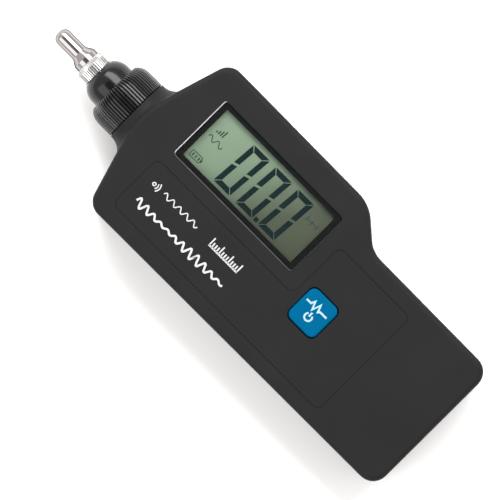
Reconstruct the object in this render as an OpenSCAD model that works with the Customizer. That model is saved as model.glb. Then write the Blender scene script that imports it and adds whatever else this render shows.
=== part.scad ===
// Handheld vibration meter with its pickup built into the nose.
// Millimetres. It lies on its back: +X runs from the probe tip to the tail, +Y across the display,
// +Z out of the front face. Z = 0 is the back face, and the origin is the middle of the whole length.

/* [Body] */
// Length of the moulded body, from the nose rim to the tail end
body_len = 147.4; // [144:0.2:156]
// Thickness of the body, from its back face to its front face
body_t = 30; // [29.5:0.5:33]
// Width of the head at its front end
head_w = 68; // [67:0.5:74]
// Probe line to the tail's upper edge, at the tail end
tail_high = 22.7; // [22.5:0.1:25]
// Length of the narrow tail, from its end to the foot of the step
tail_len = 56.8; // [56:0.2:60]
// Length that the step between head and tail takes
step_run = 12.2; // [10:0.2:15]
// Taper of the long sides towards the tail, in degrees
side_taper = 0.3; // [0.1:0.1:0.5]
// Nose rim to where the slanted flanks meet the long sides
flank_len = 11.5; // [11:0.1:12.5]
// Corner rounding seen from the front
corner_r = 6; // [5.5:0.1:7]
// Rounding along the edges of the front and back faces
edge_r = 2; // [1.2:0.1:2.1]
// Wall thickness of the shells
wall = 2.2; // [2:0.1:2.5]
// Thickness of the front face and the back face
face_t = 2.4; // [2.2:0.1:2.8]

/* [Probe] */
// Radius of the round neck that the collar stands against
neck_r = 12.4; // [12.3:0.1:12.9]
// Concave rounding between the neck and the flanks
neck_fillet_r = 6; // [5:0.2:7]
// Length of the knurled collar
collar_len = 10.9; // [10.5:0.1:14]
// Outer radius of the knurled collar, over its ribs
collar_r = 12.3; // [11.8:0.1:12.4]
// Radius of the collar's front rim
collar_rim_r = 9.3; // [9.1:0.1:10]
// Number of ribs round the collar
collar_ribs = 72; // [48:1:80]
// Outer radius of the glossy sleeve
sleeve_r = 8.6; // [8.2:0.1:8.8]
// Length of sleeve that stands out of the collar
sleeve_out = 7; // [6:0.1:10]
// Radius of the sleeve's front rim and of the knurled nut
nut_r = 6.2; // [6:0.1:6.8]
// Length of the knurled nut
nut_len = 4.9; // [4.5:0.1:6]
// Number of teeth round the knurled nut
nut_teeth = 60; // [40:1:64]
// Radius of the tip's base
tip_base_r = 4.6; // [4.4:0.1:4.9]
// Length of the tip's base
tip_base_len = 2; // [1.6:0.1:3]
// Length of the tip's cone
tip_cone_len = 2.5; // [2:0.1:5]
// Radius of the tip's rod
tip_r = 3.1; // [2.9:0.1:3.4]
// Length of the tip's rod, with its rounded end
tip_rod_len = 10; // [8:0.5:40]

/* [Display] */
// Width of the display lens
lens_w = 26; // [25:0.1:26.4]
// Thickness of the display lens
lens_t = 1.2; // [1:0.1:1.3]
// Nose rim to the near end of the lens
lens_from_nose = 19.2; // [18.8:0.1:20]
// Far end of the lens to the start of the step
lens_to_step = 2.3; // [2:0.1:4]
// Probe line to the middle of the lens
lens_mid_y = 11.4; // [11:0.1:11.8]
// Dark frame that shows at each end of the lens
frame_end = 2.8; // [2.5:0.1:4.5]
// Dark frame that shows along each side of the lens
frame_side = 2.5; // [2.3:0.1:3.5]

/* [Button and switches] */
// Length of the measuring button, along the body
button_len = 12.4; // [11:0.1:13]
// Width of the measuring button, across the body
button_w = 13.7; // [12:0.1:14.5]
// Travel of the measuring button
button_travel = 0.6; // [0.3:0.1:0.7]
// Far end of the lens to the button
button_from_lens = 8.6; // [7.5:0.1:9]
// Travel between two positions of a side switch
switch_step = 2.5; // [1.5:0.1:2.8]
// Place of the three-position switch, as a share of the tail from its end
mode_share = 0.713; // [0.7:0.005:0.72]
// Place of the two-position switch, as a share of the tail from its end
range_share = 0.396; // [0.385:0.005:0.41]

/* [Power and output] */
// Length of the block battery without its terminals
battery_len = 48.5; // [46:0.1:48.7]
// Width of the block battery
battery_w = 26.5; // [25:0.1:26.8]
// Thickness of the block battery
battery_t = 17.5; // [16:0.1:17.6]
// Bore radius of the output jack
jack_bore_r = 1.8; // [1.75:0.01:1.85]
// Depth of the output jack's bore
jack_bore_len = 11; // [9:0.1:11.2]
// Width of the battery door that shows
door_w = 32; // [31.5:0.1:34]

/* [Hidden] */

// Colours
body_black = "#363636";
gloss_black = "#17181a";
deep_black = "#0c0d0e";
button_blue = "#0077b2";
silver = "#b9bab8";
chrome = "#dcdcda";
steel = "#9fa2a5";
brass = "#b08d4a";
board_green = "#1f5b3a";
chip_black = "#202124";
lcd_green = "#8d9c85";
clear_glass = [0.75, 0.82, 0.8, 0.35];
ceramic = "#e6e0d0";
battery_grey = "#4b4f58";
cable_red = "#a3241f";
cable_black = "#1c1c1e";
foam_grey = "#5c5c60";

// Clearances and overruns shared by all the pieces
eps = 0.5;            // overrun of a cut past the face that it opens
gap = 0.3;            // between pieces of different bodies
slip = 0.05;          // radial play of a spigot, stud or screw in its hole
seat = 0.2;           // between pieces that are laid in a pocket
least_r = 0.2;        // smallest corner left by an inset
seam = 0.2;           // groove at the joint of the shells

// The long way of the whole meter
nut_gap = gap;
tip_len = tip_base_len + tip_cone_len + tip_rod_len;
probe_out = collar_len + sleeve_out + nut_gap + nut_len + tip_len;
tail_x = (body_len + probe_out) / 2;
nose_x = tail_x - body_len;
collar_front_x = nose_x - collar_len;
sleeve_front_x = collar_front_x - sleeve_out;
nut_back_x = sleeve_front_x - nut_gap;
nut_front_x = nut_back_x - nut_len;
tip_end_x = nut_front_x - tip_len;
axis_z = body_t / 2;
part_z = body_t / 2;

// Outline of the body, seen from the front: corners in order with their roundings
apex_back = 1.3;
apex_r = 30;
step_foot_r = 10;
step_top_r = 14;
corner_steps = 7;
head_front_x = nose_x + flank_len;
step_foot_x = tail_x - tail_len;
step_top_x = step_foot_x - step_run;
function tapered(half, from_x, x) = half - (x - from_x) * tan(side_taper);
tail_low = tapered(head_w / 2, head_front_x, tail_x);
step_high = tapered(head_w / 2, head_front_x, step_top_x);
step_low = tapered(tail_high, tail_x, step_foot_x);
body_corners = [
    [nose_x + apex_back, 0, apex_r],
    [head_front_x, -head_w / 2, corner_r],
    [tail_x, -tail_low, corner_r],
    [tail_x, tail_high, corner_r],
    [step_foot_x, step_low, step_foot_r],
    [step_top_x, step_high, step_top_r],
    [head_front_x, head_w / 2, corner_r]
];
tail_mid_y = (tail_high - tail_low) / 2;

// Face details
edge_steps = 5;
lens_depth = 1.4;
lens_r = 1.6;
lens_ledge = 1;
lens_near_x = nose_x + lens_from_nose;
lens_far_x = step_top_x - lens_to_step;
lens_len = lens_far_x - lens_near_x;
lens_x = (lens_near_x + lens_far_x) / 2;
view_len = lens_len - 2 * frame_end;
view_w = lens_w - 2 * frame_side;
button_x = lens_far_x + button_from_lens + button_len / 2;
button_y = -5.85;
button_r = 2.2;
button_gap = 0.45;
button_proud = 0.4;
overlay_t = 0.3;
overlay_gap = 0.15;
overlay_r = 2.5;
overlay_from_nose = 16.9;
overlay_from_tail = 32;
overlay_before_button = 3.3;
overlay_low_in = 6;
overlay_high_in = 6.4;
overlay_below_lens = 4.6;
overlay_x0 = nose_x + overlay_from_nose;
overlay_x1 = tail_x - overlay_from_tail;
overlay_step_x = button_x - button_len / 2 - overlay_before_button;
overlay_low_y = overlay_low_in - head_w / 2;
overlay_high_y = tail_high - overlay_high_in;
overlay_step_y = lens_mid_y - lens_w / 2 - overlay_below_lens;
overlay_corners = [
    [overlay_x0, overlay_low_y, overlay_r],
    [overlay_x1, overlay_low_y, overlay_r],
    [overlay_x1, overlay_high_y, overlay_r],
    [overlay_step_x, overlay_high_y, overlay_r],
    [overlay_step_x, overlay_step_y, overlay_r],
    [overlay_x0, overlay_step_y, overlay_r]
];

// Heights of the layers between the two faces
inner_top_z = body_t - face_t;
board_t = 1.6;
display_stack_h = 4.6;
board_top_z = inner_top_z - display_stack_h;
board_z = board_top_z - board_t;
bezel_top_z = inner_top_z - slip;
bezel_plate_t = 1.1;
glass_t = 1.1;
reflector_t = 0.2;
glass_top_z = bezel_top_z - bezel_plate_t - slip;
rear_glass_z = glass_top_z - 2 * glass_t;

// Joint between the shells
lip_inset = 1.1;
lip_h = 1.5;

// Case screws and their bosses
screw_r = 1.2;
screw_head_r = 2.2;
screw_head_h = 2;
screw_seat_z = 9;
screw_len = 13;
boss_r = 3.5;
pilot_boss_r = 2.6;
boss_in_share = 0.75;
jack_room = 14.5;
screw_places = [
    [head_front_x + corner_r * boss_in_share, head_w / 2 - corner_r],
    [head_front_x + corner_r * boss_in_share, corner_r - head_w / 2],
    [tail_x - corner_r, tail_high - corner_r],
    [tail_x - corner_r - jack_room, corner_r - tail_low]
];

function unit(v) = v / norm(v);
function left_of(v) = [-v[1], v[0]];
function flat(p) = [p[0], p[1]];
function turned(v, a) = [v[0] * cos(a) - v[1] * sin(a), v[0] * sin(a) + v[1] * cos(a)];

// Points of one rounded corner after the whole outline is drawn in by inset
function corner_points(before, at, after, inset, steps) =
    let (
        d1 = unit(flat(at) - flat(before)),
        d2 = unit(flat(after) - flat(at)),
        n1 = left_of(d1),
        n2 = left_of(d2),
        turn = atan2(d1[0] * d2[1] - d1[1] * d2[0], d1 * d2),
        r = max(at[2] - sign(turn) * inset, least_r),
        p = flat(at) + inset * (n1 + n2) / (1 + n1 * n2),
        start = p - d1 * r * tan(abs(turn) / 2),
        centre = start + n1 * r * sign(turn)
    )
    [for (k = [0:steps]) centre + turned(start - centre, turn * k / steps)];

// Closed outline of a list of corners [x, y, rounding], anticlockwise, drawn in by inset
function outline(corners, inset, steps = corner_steps) =
    let (n = len(corners))
    [for (i = [0:n - 1])
        for (p = corner_points(corners[(i + n - 1) % n], corners[i], corners[(i + 1) % n], inset, steps)) p];

// Corners of a rectangle about [x, y]
function box_corners(x, y, length, width, r) = [
    [x - length / 2, y - width / 2, r],
    [x + length / 2, y - width / 2, r],
    [x + length / 2, y + width / 2, r],
    [x - length / 2, y + width / 2, r]
];

lens_corners = box_corners(lens_x, lens_mid_y, lens_len, lens_w, lens_r);
button_corners = box_corners(button_x, button_y, button_len, button_w, button_r);

// Rounded edge as rings of [height, inset], from the side wall up to the face
function edge_rings(top_z, r) =
    [for (k = [0:edge_steps]) let (a = 90 * k / edge_steps) [top_z - r + r * sin(a), r * (1 - cos(a))]];

// Solid through rings of [height, inset], all of one outline
module loft(corners, rings, steps = corner_steps) {
    n = len(outline(corners, 0, steps));
    points = [for (ring = rings) for (p = outline(corners, ring[1], steps)) [p[0], p[1], ring[0]]];
    last = (len(rings) - 1) * n;
    sides = [for (j = [0:len(rings) - 2]) for (i = [0:n - 1])
        [j * n + i, (j + 1) * n + i, (j + 1) * n + (i + 1) % n, j * n + (i + 1) % n]];
    bottom = [for (i = [0:n - 1]) i];
    top = [for (i = [n - 1:-1:0]) last + i];
    polyhedron(points, concat(sides, [bottom, top]), convexity = 8);
}

// Straight plate with that outline, between two heights
module plate(corners, inset, low_z, high_z, steps = corner_steps) {
    translate([0, 0, low_z])
        linear_extrude(height = high_z - low_z) polygon(outline(corners, inset, steps));
}

// Box from its low corner to its high corner
module block(low, high) {
    translate(low) cube(high - low);
}

// Turned solid on the probe line, from points of [radius, x]
module lathe(points) {
    translate([0, 0, axis_z]) rotate([0, 90, 0]) rotate_extrude($fn = 96) polygon(points);
}

// Round bar or hole along the probe line
module bar_x(r, x0, x1, y = 0, z = axis_z) {
    translate([x0, y, z]) rotate([0, 90, 0]) cylinder(r = r, h = x1 - x0, $fn = 72);
}

module bar_z(r, place, z0, z1) {
    translate([place[0], place[1], z0]) cylinder(r = r, h = z1 - z0, $fn = 48);
}

// Half of the case as a solid block: rings run on past the joint and the face, which planes then cut
module case_half(upper) {
    joint_rings = [for (k = [2:-1:0]) [(k - 1) * seam, k * seam]];
    round_rings = [for (ring = edge_rings(body_t - part_z, edge_r)) ring];
    last = round_rings[edge_steps];
    before = round_rings[edge_steps - 1];
    beyond = [2 * last[0] - before[0], 2 * last[1] - before[1]];
    translate([0, 0, part_z]) mirror([0, 0, upper ? 0 : 1])
        intersection() {
            loft(body_corners, concat(joint_rings, round_rings, [beyond]));
            block([nose_x - wall, -head_w, 0], [tail_x + wall, head_w, body_t - part_z]);
        }
}

// Nose, and what the pickup needs behind it
nose_depth = 5.9;
seat_wall = 4.15;
sleeve_flange_t = 1.6;
pickup_flange_t = 1.2;
pickup_cap_t = 1;
neck_straight = 0.6;
fillet_short = 7;
fillet_steps = 8;
block_r = max(neck_r, sleeve_r + seat_wall);
nose_inner_x = nose_x + nose_depth;
sleeve_back_x = nose_inner_x + sleeve_flange_t;
pickup_back_x = sleeve_back_x + pickup_flange_t;
fillet_turn = atan(head_w / 2 / (flank_len - apex_back)) - fillet_short;
rib_x0 = pickup_back_x + pickup_cap_t + seat;
rib_t = 1.8;
rib_half_w = 10;
cable_r = 1.2;
cable_notch_r = 1.6;
cable_bend_r = 4;

// Round neck with its concave rounding, on one side of the parting plane
module neck(low_z, high_z) {
    fillet = [for (k = [0:fillet_steps]) let (a = fillet_turn * k / fillet_steps)
        [neck_r + neck_fillet_r * (1 - cos(a)), nose_x + neck_straight + neck_fillet_r * sin(a)]];
    wide = fillet[fillet_steps];
    intersection() {
        lathe(concat([[0, nose_x], [neck_r, nose_x]], fillet,
            [[wide[0], wide[1] + wall], [0, wide[1] + wall]]));
        block([nose_x - eps, -head_w / 2, low_z], [head_front_x, head_w / 2, high_z]);
    }
}

// Solid seat of the probe behind the nose rim, on one side of the parting plane
module nose_seat(low_z, high_z) {
    intersection() {
        bar_x(block_r, nose_x + apex_back + wall, nose_inner_x);
        block([nose_x, -head_w / 2, low_z], [nose_inner_x, head_w / 2, high_z]);
    }
}

// Rib that backs the pickup, with a half-round notch for its cable
module backing_rib(low_z, high_z) {
    block([rib_x0, -rib_half_w, low_z], [rib_x0 + rib_t, rib_half_w, high_z]);
}

module probe_bore() {
    bar_x(sleeve_r + slip, nose_x - eps, nose_inner_x + eps);
    bar_x(flange_r + seat, nose_inner_x, sleeve_back_x + seat);
    bar_x(cable_notch_r, rib_x0 - eps, rib_x0 + rib_t + eps);
}

// Posts that carry the board
post_r = 2.2;
post_screw_r = 0.9;
post_in = 2;
post_below = 3.4;
post_from_lens = 4.8;
post_foot_in = 4.5;
post_foot_down = 7.2;
post_tail_in = 32.5;
post_tail_up = 7.3;
post_places = [
    [lens_near_x + post_in, lens_mid_y - lens_w - post_below],
    [lens_far_x + post_from_lens, lens_mid_y + lens_w / 3],
    [step_foot_x + post_foot_in, tail_high - post_foot_down],
    [tail_x - post_tail_in, post_tail_up - tail_low]
];

// Side switches
switch_len = 11;
switch_half_h = 2;
switch_z = board_z - switch_half_h;
switch_front_gap = 0.2;
switch_depth = 5.4;
knob_len = 5.2;
knob_h = 3.2;
knob_t = 0.9;
knob_sunk = 0.25;
stem_len = 2.4;
stem_h = 1.8;
stem_in = 1.5;
pad_t = 0.8;
mode_x = tail_x - mode_share * tail_len;
range_x = tail_x - range_share * tail_len;
pocket_y = tail_high - knob_sunk - knob_t - gap;
pad_y = tail_high - wall - pad_t;
switch_y = pad_y - switch_front_gap;

// Pocket in the side wall and slot through it, for a knob that slides from low to high
module knob_cut(x, low, high) {
    half = knob_len / 2 + gap;
    rise = knob_h / 2 + gap;
    block([x + low - half, pocket_y, switch_z - rise],
          [x + high + half, tail_high + wall, switch_z + rise]);
    block([x + low - stem_len / 2 - gap, pad_y - eps, switch_z - stem_h / 2 - gap],
          [x + high + stem_len / 2 + gap, tail_high, switch_z + stem_h / 2 + gap]);
}

module knob_pad(x, low, high) {
    half = knob_len / 2 + gap + wall / 2;
    rise = knob_h / 2 + gap + pad_t;
    block([x + low - half, pad_y, switch_z - rise],
          [x + high + half, tail_high - wall / 2, switch_z + rise]);
}

module switch_body(x, low, high) {
    mid = x + (low + high) / 2;
    difference() {
        block([mid - switch_len / 2, switch_y - switch_depth, switch_z - switch_half_h],
              [mid + switch_len / 2, switch_y, switch_z + switch_half_h]);
        block([x + low - stem_len / 2 - gap, switch_y - stem_in - gap, switch_z - stem_h / 2 - gap],
              [x + high + stem_len / 2 + gap, switch_y + eps, switch_z + stem_h / 2 + gap]);
    }
}

knob_ridges = 3;
ridge_cut = 0.4;
module knob(x) {
    top_y = tail_high - knob_sunk;
    pitch = knob_len / (knob_ridges + 1);
    difference() {
        block([x - knob_len / 2, top_y - knob_t, switch_z - knob_h / 2],
              [x + knob_len / 2, top_y, switch_z + knob_h / 2]);
        for (k = [1:knob_ridges])
            block([x - knob_len / 2 + k * pitch - ridge_cut / 2, top_y - ridge_cut, switch_z - knob_h],
                  [x - knob_len / 2 + k * pitch + ridge_cut / 2, top_y + eps, switch_z + knob_h]);
    }
    block([x - stem_len / 2, switch_y - stem_in, switch_z - stem_h / 2],
          [x + stem_len / 2, top_y - knob_t, switch_z + stem_h / 2]);
}

// Output jack, in the tail's end wall between the side wall and the battery bay
bay_wall = 1.2;
bay_gap = 0.4;
bay_half_w = battery_w / 2 + bay_gap;
jack_half_w = 3.2;
jack_half_h = 2.8;
jack_z = board_z - jack_half_h;
jack_y = (tail_mid_y - bay_half_w - bay_wall + wall - tail_low) / 2;
jack_nose_r = 2.9;
jack_sunk = 0.3;
jack_back = 1.2;

module front_shell() {
    color(body_black)
    difference() {
        union() {
            difference() {
                union() {
                    case_half(true);
                    neck(part_z, body_t - edge_r);
                }
                plate(body_corners, wall, part_z - eps, inner_top_z);
                plate(body_corners, lip_inset - seat / 2, part_z - eps, part_z + lip_h + seat);
            }
            nose_seat(part_z, body_t - edge_r);
            backing_rib(part_z, inner_top_z + eps);
            for (p = screw_places) bar_z(pilot_boss_r, p, part_z, inner_top_z + eps);
            for (p = post_places) bar_z(post_r, p, board_top_z, inner_top_z + eps);
            knob_pad(mode_x, -switch_step, switch_step);
            knob_pad(range_x, 0, switch_step);
        }
        probe_bore();
        plate(lens_corners, 0, body_t - lens_depth, body_t + eps);
        plate(lens_corners, lens_ledge, inner_top_z - eps, body_t);
        plate(button_corners, -button_gap, inner_top_z - eps, body_t + eps);
        plate(overlay_corners, 0, body_t - overlay_t, body_t + eps);
        for (p = screw_places) bar_z(screw_r + slip, p, part_z - eps, screw_seat_z + screw_len + eps);
        for (p = post_places) bar_z(post_screw_r + slip, p, board_top_z - eps, inner_top_z);
        knob_cut(mode_x, -switch_step, switch_step);
        knob_cut(range_x, 0, switch_step);
        bar_x(jack_nose_r + slip, tail_x - 2 * wall, tail_x + eps, jack_y, jack_z);
    }
}

// Battery bay, door and its grooves
door_t = 2.2;
door_gap = 0.2;
tongue_t = 1;
tongue_w = 1.2;
rail_t = 1.8;
rail_w = 1.6;
terminal_h = 2.8;
snap_t = 1.5;
snap_room = 1.2;
battery_x1 = tail_x - wall - bay_wall - bay_gap;
battery_x0 = battery_x1 - battery_len;
bay_x0 = battery_x0 - terminal_h - snap_t - snap_room;
bay_x1 = battery_x1 + bay_gap;
bay_top_z = door_t + 2 * door_gap + battery_t;
battery_z = door_t + gap;
door_front = 3.4;
door_x0 = bay_x0 - door_front;
front_tongue_len = 1.5;
front_tongue_half_w = 10;
notch_half_w = 6;
grip_in = 4;
grip_grooves = 6;
grip_pitch = 1.6;
grip_w = 0.8;
grip_depth = 0.5;
grip_half_len = 7;

// Space of the door, grown by play on every side that slides
module door_space(play) {
    y0 = tail_mid_y - door_w / 2;
    y1 = tail_mid_y + door_w / 2;
    tongue_z = door_t - tongue_t;
    block([door_x0 - play, y0 - play, -eps], [tail_x + eps, y1 + play, door_t + play]);
    block([door_x0 - play, y0 - tongue_w - play, tongue_z - play],
          [tail_x + eps, y1 + tongue_w + play, door_t + play]);
    block([door_x0 - front_tongue_len - play, tail_mid_y - front_tongue_half_w - play, tongue_z - play],
          [door_x0 + eps, tail_mid_y + front_tongue_half_w + play, door_t + play]);
}

module rear_shell() {
    rail_half = door_w / 2 + tongue_w + door_gap + rail_w;
    lead_notch_z = battery_z + battery_t / 3;
    color(body_black)
    difference() {
        union() {
            difference() {
                union() {
                    case_half(false);
                    neck(edge_r, part_z);
                    difference() {
                        plate(body_corners, lip_inset, part_z - wall, part_z + lip_h);
                        bar_x(block_r + seat, nose_x, nose_inner_x);
                        bar_x(jack_nose_r + gap, tail_x - 2 * wall, tail_x, jack_y, jack_z);
                    }
                }
                plate(body_corners, wall, face_t, part_z + 2 * lip_h);
            }
            nose_seat(edge_r, part_z);
            backing_rib(face_t - eps, part_z);
            for (p = screw_places) bar_z(boss_r, p, face_t - eps, part_z);
            block([door_x0 - rail_w, tail_mid_y - rail_half, face_t - eps],
                  [tail_x - wall + eps, tail_mid_y + rail_half, door_t + door_gap + rail_t]);
            block([bay_x0 - bay_wall, tail_mid_y - bay_half_w - bay_wall, face_t - eps],
                  [bay_x1 + bay_wall, tail_mid_y + bay_half_w + bay_wall, bay_top_z]);
        }
        probe_bore();
        door_space(door_gap);
        block([bay_x0, tail_mid_y - bay_half_w, -eps], [bay_x1, tail_mid_y + bay_half_w, bay_top_z + eps]);
        block([bay_x0 - 2 * bay_wall, tail_mid_y - notch_half_w, lead_notch_z],
              [bay_x0 + eps, tail_mid_y + notch_half_w, bay_top_z + eps]);
        for (p = screw_places) {
            bar_z(screw_head_r + seat, p, -eps, screw_seat_z);
            bar_z(screw_r + seat, p, screw_seat_z - eps, part_z + eps);
        }
    }
}

module battery_door() {
    color(body_black)
    difference() {
        intersection() {
            case_half(false);
            door_space(0);
        }
        for (k = [0:grip_grooves - 1]) {
            groove_x = door_x0 + grip_in + k * grip_pitch;
            block([groove_x, tail_mid_y - grip_half_len, -eps],
                  [groove_x + grip_w, tail_mid_y + grip_half_len, grip_depth]);
        }
    }
}

// Display, from the lens down
module display_lens() {
    color(clear_glass)
        plate(lens_corners, seat / 2, body_t - lens_depth, body_t - lens_depth + lens_t);
}

bezel_out = 1;
bezel_in = 0.3;
bezel_r = 1.5;
bezel_flare = 0.8;
module display_bezel() {
    corners = box_corners(lens_x, lens_mid_y, lens_len, lens_w, bezel_r);
    view = box_corners(lens_x, lens_mid_y, view_len, view_w, bezel_r);
    plate_z = bezel_top_z - bezel_plate_t;
    color(deep_black)
    difference() {
        plate(corners, -bezel_out, board_top_z, bezel_top_z);
        plate(corners, bezel_in, board_top_z - eps, plate_z);
        loft(view, [[plate_z - eps, eps * bezel_flare / bezel_plate_t],
                    [bezel_top_z + eps, -bezel_flare * (1 + eps / bezel_plate_t)]]);
    }
}

module lcd_glass() {
    color(lcd_green)
        plate(box_corners(lens_x, lens_mid_y, lens_len, lens_w, bezel_r), bezel_in + seat,
            glass_top_z - glass_t, glass_top_z);
}

strip_w = 1.2;
strip_inset = 0.2;
function rear_glass_w() = lens_w - 2 * (bezel_in + seat + 2 * strip_inset + strip_w);
module lcd_rear_glass() {
    color(lcd_green)
        plate(box_corners(lens_x, lens_mid_y, lens_len, rear_glass_w(), least_r), bezel_in + seat,
            rear_glass_z, rear_glass_z + glass_t);
}

module lcd_reflector() {
    color(silver)
        plate(box_corners(lens_x, lens_mid_y, lens_len, rear_glass_w(), least_r), bezel_in + 2 * seat,
            rear_glass_z - reflector_t, rear_glass_z);
}

module contact_strips() {
    half = lens_len / 2 - bezel_in - 2 * seat;
    edge_y = lens_w / 2 - bezel_in - seat - strip_inset;
    color(chip_black)
    for (side = [-1, 1])
        translate([lens_x, lens_mid_y + side * (edge_y - strip_w / 2), board_top_z])
            translate([-half, -strip_w / 2, 0])
                cube([2 * half, strip_w, glass_top_z - glass_t - board_top_z]);
}

module face_overlay() {
    color(body_black)
    difference() {
        plate(overlay_corners, overlay_gap, body_t - overlay_t, body_t);
        plate(button_corners, -button_gap, body_t - wall, body_t + eps);
    }
}

// Button and the switch under it
flange_w = 0.9;
flange_t = 1;
button_wall = 1.4;
button_steps = 4;
crown_h = 1.24;
crown_in = 4.6;
crown_in_shares = [0, 0.05, 0.2, 0.52, 1];
crown_h_shares = [0, 0.52, 0.82, 0.94, 1];
plunger_r = 1.7;
plunger_h = 1.7;
switch_base_h = 2;
switch_base_w = 6.2;
plunger_sunk = 0.8;
button_low_z = inner_top_z - gap - flange_t;
button_top_z = body_t + button_proud;
plunger_z = board_top_z + switch_base_h - plunger_sunk;

module measure_button() {
    crown = [for (k = [0:len(crown_in_shares) - 1])
        [button_top_z - crown_h * (1 - crown_h_shares[k]), crown_in * crown_in_shares[k]]];
    color(button_blue)
    union() {
        difference() {
            union() {
                loft(button_corners, concat([[button_low_z, 0]], crown), button_steps);
                plate(button_corners, -flange_w - button_gap,
                    button_low_z, button_low_z + flange_t, button_steps);
            }
            plate(button_corners, button_wall, button_low_z - eps, body_t - button_wall, button_steps);
        }
        bar_z(plunger_r, [button_x, button_y], plunger_z + plunger_h, body_t - button_wall + eps);
    }
}

module button_plunger() {
    color(chip_black) bar_z(plunger_r, [button_x, button_y], plunger_z, plunger_z + plunger_h);
}

module button_switch() {
    half = switch_base_w / 2;
    color(steel)
    difference() {
        block([button_x - half, button_y - half, board_top_z],
              [button_x + half, button_y + half, board_top_z + switch_base_h]);
        bar_z(plunger_r + 2 * slip, [button_x, button_y],
            plunger_z - button_travel - 2 * slip, board_top_z + 2 * switch_base_h);
    }
}

// Board and what it carries
board_edge_gap = 1.2;
board_inset = wall + board_edge_gap;
board_from_rib = 0.7;
module main_board() {
    color(board_green)
    difference() {
        intersection() {
            plate(body_corners, board_inset, board_z, board_top_z);
            block([rib_x0 + rib_t + board_from_rib, -head_w, board_z - eps], [tail_x, head_w, body_t]);
        }
        for (p = screw_places) bar_z(pilot_boss_r + gap, p, board_z - eps, board_top_z + eps);
        for (p = post_places) bar_z(post_screw_r + slip, p, board_z - eps, board_top_z + eps);
    }
}

// Place under the board: length from the near end of the lens, and share of half the head's width
function head_place(from_lens, share) = [lens_near_x + from_lens, share * head_w / 2];

processor_size = [14, 14, 2.2];
amplifier_size = [9, 4, 1.6];
driver_size = [10, 7.4, 2];
regulator_size = [5, 4, 1.5];
memory_size = [19, 6.4, 3.6];
chip_sizes = [processor_size, amplifier_size, amplifier_size, driver_size, regulator_size, memory_size];
amplifier_column = 1.4;
processor_column = 17.5;
memory_column = 20.5;
driver_column = 36;
amplifier_row_share = 0.14;
processor_row_share = -0.2;
driver_row_share = 0.18;
memory_row_share = 0.35;
low_row_share = -0.59;
chip_places = [
    head_place(processor_column, processor_row_share),
    head_place(amplifier_column, amplifier_row_share),
    head_place(amplifier_column, -amplifier_row_share),
    head_place(driver_column, driver_row_share),
    head_place(driver_column, processor_row_share),
    head_place(memory_column, memory_row_share)
];
module board_chips() {
    color(chip_black)
    for (k = [0:len(chip_sizes) - 1]) {
        place = chip_places[k];
        size = chip_sizes[k];
        translate([place[0] - size[0] / 2, place[1] - size[1] / 2, board_z - size[2]]) cube(size);
    }
}

cap_r = 3.2;
cap_h = 7.5;
caps = 3;
cap_column = 22.6;
cap_pitch = 7;
module board_capacitors() {
    color(cable_black)
    for (k = [0:caps - 1])
        bar_z(cap_r, head_place(cap_column + k * cap_pitch, low_row_share), board_z - cap_h, board_z);
}

pot_w = 6.6;
pot_h = 4.8;
pot_screw_r = 1.1;
pot_screw_h = 0.5;
pots = 2;
pot_column = 8;
pot_pitch = 7.4;
module trim_pots() {
    color(button_blue)
    for (k = [0:pots - 1]) {
        p = head_place(pot_column + k * pot_pitch, low_row_share);
        block([p[0] - pot_w / 2, p[1] - pot_w / 2, board_z - pot_h],
              [p[0] + pot_w / 2, p[1] + pot_w / 2, board_z]);
        bar_z(pot_screw_r, p, board_z - pot_h - pot_screw_h, board_z - pot_h / 2);
    }
}

crystal_r = 1.9;
crystal_gap = 2.6;
crystal_h = 3.6;
crystal_from_chip = 0.6;
module board_crystal() {
    middle = chip_places[0] + [0, processor_size[1] / 2 + crystal_from_chip + crystal_r];
    color(silver)
    for (side = [-1, 1])
        bar_z(crystal_r, middle + [side * crystal_gap, 0], board_z - crystal_h, board_z);
}

post_screw_head_r = 1.8;
post_screw_head_h = 1.3;
post_screw_len = 5;
module board_screws() {
    color(steel)
    for (p = post_places) {
        bar_z(post_screw_head_r, p, board_z - post_screw_head_h, board_z);
        bar_z(post_screw_r, p, board_z - post_screw_head_h, board_z + post_screw_len);
    }
}

module mode_switch() {
    color(steel) switch_body(mode_x, -switch_step, switch_step);
}

module mode_knob() {
    color(deep_black) knob(mode_x);
}

module range_switch() {
    color(steel) switch_body(range_x, 0, switch_step);
}

module range_knob() {
    color(deep_black) knob(range_x);
}

module output_jack() {
    front_x = tail_x - jack_sunk;
    body_x = tail_x - wall - seat;
    color(chip_black)
    difference() {
        union() {
            block([front_x - jack_bore_len - jack_back, jack_y - jack_half_w, jack_z - jack_half_h],
                  [body_x, jack_y + jack_half_w, jack_z + jack_half_h]);
            bar_x(jack_nose_r, body_x - eps, front_x, jack_y, jack_z);
        }
        bar_x(jack_bore_r, front_x - jack_bore_len, front_x + eps, jack_y, jack_z);
    }
}

// Battery and its connector
terminal_r = 3.2;
terminal_pitch = 12.7;
battery_edge_r = 1.5;
cup_r = 4.2;
cup_h = 2.4;
snap_half_w = 12;
snap_half_h = 6.5;
battery_mid_z = battery_z + battery_t / 2;

module battery() {
    mid_x = (battery_x0 + battery_x1) / 2;
    color(battery_grey)
    union() {
        plate(box_corners(mid_x, tail_mid_y, battery_len, battery_w, battery_edge_r), 0,
            battery_z, battery_z + battery_t, button_steps);
        for (side = [-1, 1])
            bar_x(terminal_r, battery_x0 - terminal_h, battery_x0 + eps,
                tail_mid_y + side * terminal_pitch / 2, battery_mid_z);
    }
}

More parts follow.
